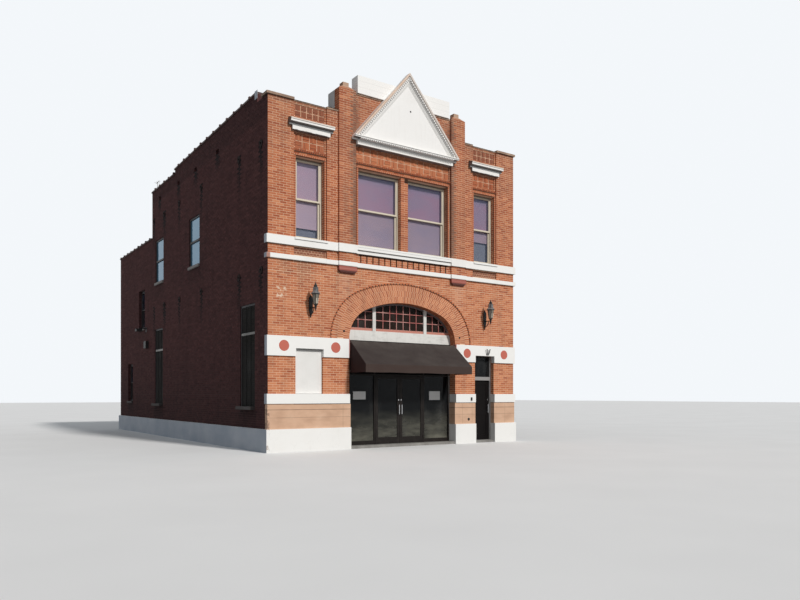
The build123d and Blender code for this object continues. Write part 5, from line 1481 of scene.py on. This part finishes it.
def corner_flashing():
    """A crumpled white sheet tacked over the step of the left coping."""
    across, up = 10, 14
    vertices = []
    rng = random.Random(44)
    for row in range(up + 1):
        for k in range(across + 1):
            y = 0.6 + 0.2 * k / across
            z = 10.02 + 0.235 * row / up
            crumple = 0.003 * math.sin(y * 61 + z * 17) + 0.002 * math.sin(z * 83 + y * 23)
            vertices.append((-4.668 - abs(crumple + rng.uniform(0, 0.001)), y, z))
    made = piece("corner_flashing", vertices, grid_faces(up, across, flip=True), "white")
    thick = made.modifiers.new("thick", "SOLIDIFY")
    thick.thickness = 0.002
    thick.offset = 0.0


def roof_aerial():
    """A small aerial on the back corner of the left parapet."""
    parts = Parts()
    x = -4.47
    parts.tube([(x, 11.3, 9.98), (x, 11.3, 10.33)], 0.011, 12)
    parts.tube([(x, 11.02, 10.31), (x, 11.52, 10.315)], 0.008, 10)
    for y, half in ((11.06, 0.05), (11.21, 0.08), (11.36, 0.11)):
        parts.tube([(x - half, y, 10.312), (x + half, y, 10.312)], 0.005, 8)
    parts.block((-4.5, 11.26, 9.95), (-4.44, 11.34, 9.99), 0.003)
    parts.make("roof_aerial", "grey_rail", "black_iron")


def tile_collars():
    """The lapped collars of the side copings' tiles."""
    parts = Parts()
    rng = random.Random(45)
    outer, inner, lap, tile, over = 4.672, 4.25, 0.085, 0.61, 0.055
    for side in (-1, 1):
        y = 1.2
        while y < DEPTH - 0.2:
            if y < SIDE_STEP:
                top = SIDE_TOP - SIDE_FALL * (y - SIDE_START) / (SIDE_STEP - SIDE_START) + over
            elif y < MAIN_DEPTH - 0.08:
                top = 9.935
            elif y < MAIN_DEPTH + 0.12:
                y += 0.2
                continue
            else:
                top = REAR_TOP + over
            low, high = top - 0.05, top + 0.026 + rng.uniform(0, 0.018)
            outline = [(side * x, y, z) for x,
                       z in ((outer, low), (inner, low), (inner, high), (outer, high))]
            parts.prism(outline, (0, lap, 0), 0.006)
            y += tile + rng.uniform(-0.02, 0.02)
    parts.make("coping_collars", "tile", "clay_tile")


def coping_caps():
    """Uneven mortar caps along the tops of the front copings."""
    vertices, faces = [], []
    rng = random.Random(46)
    cross = 7
    runs = ((3.84, 4.665, 10.02, -0.04, 0.2), (2.78, 3.82, 9.985, 0.01, 0.2),
            (2.4, 2.76, 10.006, -0.04, 0.2))
    for side in (-1, 1):
        for x0, x1, top, y0, y1 in runs:
            steps = max(4, int((x1 - x0) / 0.03))
            made = grid_faces(steps, cross, len(vertices), flip=True)
            faces += made if side > 0 else [face[::-1] for face in made]
            phase = rng.uniform(0, 6)
            for k in range(steps + 1):
                x = x0 + (x1 - x0) * k / steps
                ends = min(1.0, k / 2, (steps - k) / 2)
                lump = 0.5 + 0.3 * math.sin(x * 14 + phase) + 0.3 * math.sin(x * 37 + phase * 2)
                lump += rng.uniform(-0.2, 0.2)
                for j in range(cross + 1):
                    bow = math.sin(math.pi * j / cross) ** 0.6
                    z = top - 0.006 + ends * bow * (0.012 + 0.016 * max(0.1, lump))
                    vertices.append((side * x, y0 + (y1 - y0) * j / cross + 0.004 * lump, z))
    piece("front_coping_caps", vertices, faces, "cap", smooth=True)


def awning_cloth():
    """One sheet over the rafters, down the valance and across both closed ends, sagging a little."""
    half, top, reach, front_top, foot = 1.99, 3.225, 0.89, 2.503, 2.266
    across, down, valance, drop = 120, 30, 10, 12
    rafters = np.linspace(-1.97, 1.97, 5)
    vertices = []
    for row in range(down + valance + 1):
        for x in np.linspace(-half, half, across + 1):
            if row <= down:
                share = row / down
                between = min(1.0, np.min(np.abs(rafters - x)) / 0.49)
                sag = 0.022 * math.sin(math.pi * share) * math.sin(math.pi * between / 2) ** 2
                y = -0.01 - (reach - 0.009) * share
                vertices.append((x, y + sag * 0.63, top + (front_top - top) * share - sag * 0.77))
            else:
                share = (row - down) / valance
                wave = 0.0012 * math.sin(x * 9.0 + 1.3) * share + 0.0008 * math.sin(x * 23.0) * share
                hem = 0.004 * share**4 * math.sin(x * 5.2 + 0.6)
                vertices.append((x, -reach + 0.001 - abs(wave),
                                 front_top + (foot - front_top) * share + hem))
    faces = grid_faces(down + valance, across, flip=True)
    for edge in (0, across):
        columns = []
        for row in range(down + 1):
            corner = row * (across + 1) + edge
            x, y, z = vertices[corner]
            columns.append([corner, *range(len(vertices), len(vertices) + drop)])
            vertices += [(x, y, z + (foot - z) * k / drop) for k in range(1, drop + 1)]
        for left, right in zip(columns, columns[1:]):
            for a, c, d, e in zip(left, left[1:], right[1:], right):
                faces.append((a, c, d, e) if edge == 0 else (a, e, d, c))
    sheet = piece("awning_sheet", vertices, faces, "awning", smooth=True)
    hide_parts("awning")


def floor_plane(size):
    """A plain floor that looks pale to the camera but throws back light like a darker one."""
    mesh = bpy.data.meshes.new("floor")
    corners = [(-size, -size, 0), (size, -size, 0), (size, size, 0), (-size, size, 0)]
    mesh.from_pydata(corners, [], [(0, 1, 2, 3)])
    floor = bpy.data.objects.new("floor", mesh)
    bpy.context.scene.collection.objects.link(floor)
    f = Finish("pale_floor", 0.9)
    way = f.node("LightPath")
    seen = f.plus(*[way.outputs[f"Is {kind}"] for kind in ("Camera Ray", "Glossy Ray", "Transmission Ray")])
    pale = f.patchy(0.4, 2.0, (0.3, (0.74, 0.74, 0.74)), (0.7, (0.77, 0.77, 0.77)))
    f.colour(f.mix(seen, (0.3, 0.3, 0.3), pale))
    mesh.materials.append(f.material)


def sky():
    """Even light from the sky, and a pale plain backdrop where the sky itself is seen."""
    fill_colour, fill_strength = (0.88, 0.94, 1.0, 1), 0.33
    seen_colour, seen_strength = (0.9, 0.93, 0.96, 1), 1.0
    world = bpy.data.worlds.new("world")
    bpy.context.scene.world = world
    world.use_nodes = True
    tree = world.node_tree
    tree.nodes.clear()
    names = ("OutputWorld", "Background", "Background", "MixShader", "LightPath", "Math", "Math")
    out, fill, backdrop, mix, path, either, any_seen = (tree.nodes.new("ShaderNode" + name) for name in names)
    for node, colour, strength in ((fill, fill_colour, fill_strength),
                                   (backdrop, seen_colour, seen_strength)):
        node.inputs[0].default_value = colour
        node.inputs[1].default_value = strength
    for node in (either, any_seen):
        node.operation = "MAXIMUM"
    for source, node, place in (
        (path.outputs["Is Camera Ray"], either, 0), (path.outputs["Is Glossy Ray"], either, 1),
        (either.outputs[0], any_seen, 0), (path.outputs["Is Transmission Ray"], any_seen, 1),
        (any_seen.outputs[0], mix, 0), (fill.outputs[0], mix, 1), (backdrop.outputs[0], mix, 2),
        (mix.outputs[0], out, 0),
    ):
        tree.links.new(source, node.inputs[place])


def sun_light():
    """One soft sun from high in front of the street side."""
    sun = bpy.data.lights.new("key", "SUN")
    sun.energy = 2.78
    sun.angle = math.radians(6)
    sun.color = (1.0, 0.97, 0.93)
    lamp = bpy.data.objects.new("key", sun)
    lamp.rotation_mode = "QUATERNION"
    towards = Vector((0.17, -1.0, 0.74))
    lamp.rotation_quaternion = towards.to_track_quat("Z", "Y")
    bpy.context.scene.collection.objects.link(lamp)


def photo_camera():
    """The photograph's camera, at eye height."""
    camera = bpy.data.cameras.new("camera")
    camera.sensor_width = 36
    camera.lens = 31.76
    camera.shift_y = 0.119
    camera.clip_start, camera.clip_end = 0.5, 400
    holder = bpy.data.objects.new("camera", camera)
    holder.location = (-12.66, -18.149, 1.6)
    holder.rotation_euler = (math.radians(90), 0, math.radians(-34.5))
    bpy.context.scene.collection.objects.link(holder)
    bpy.context.scene.camera = holder
    bpy.context.scene.view_settings.view_transform = "Standard"


front_bricks()
arch_bricks()
hood_gap_shade()
label_bricks()
basket_panels()
side_bricks(-1)
side_bricks(1)
back_bricks()
roundels()
dentils()
gable_fixture()
window_shades()
sash_gap_shade()
side_panes()
notices()
board_facing()
fanlight_shade_sheet()
door_fittings()
lantern_panes()
corner_flashing()
roof_aerial()
tile_collars()
coping_caps()
awning_cloth()
floor_plane(150)
sky()
sun_light()
photo_camera()
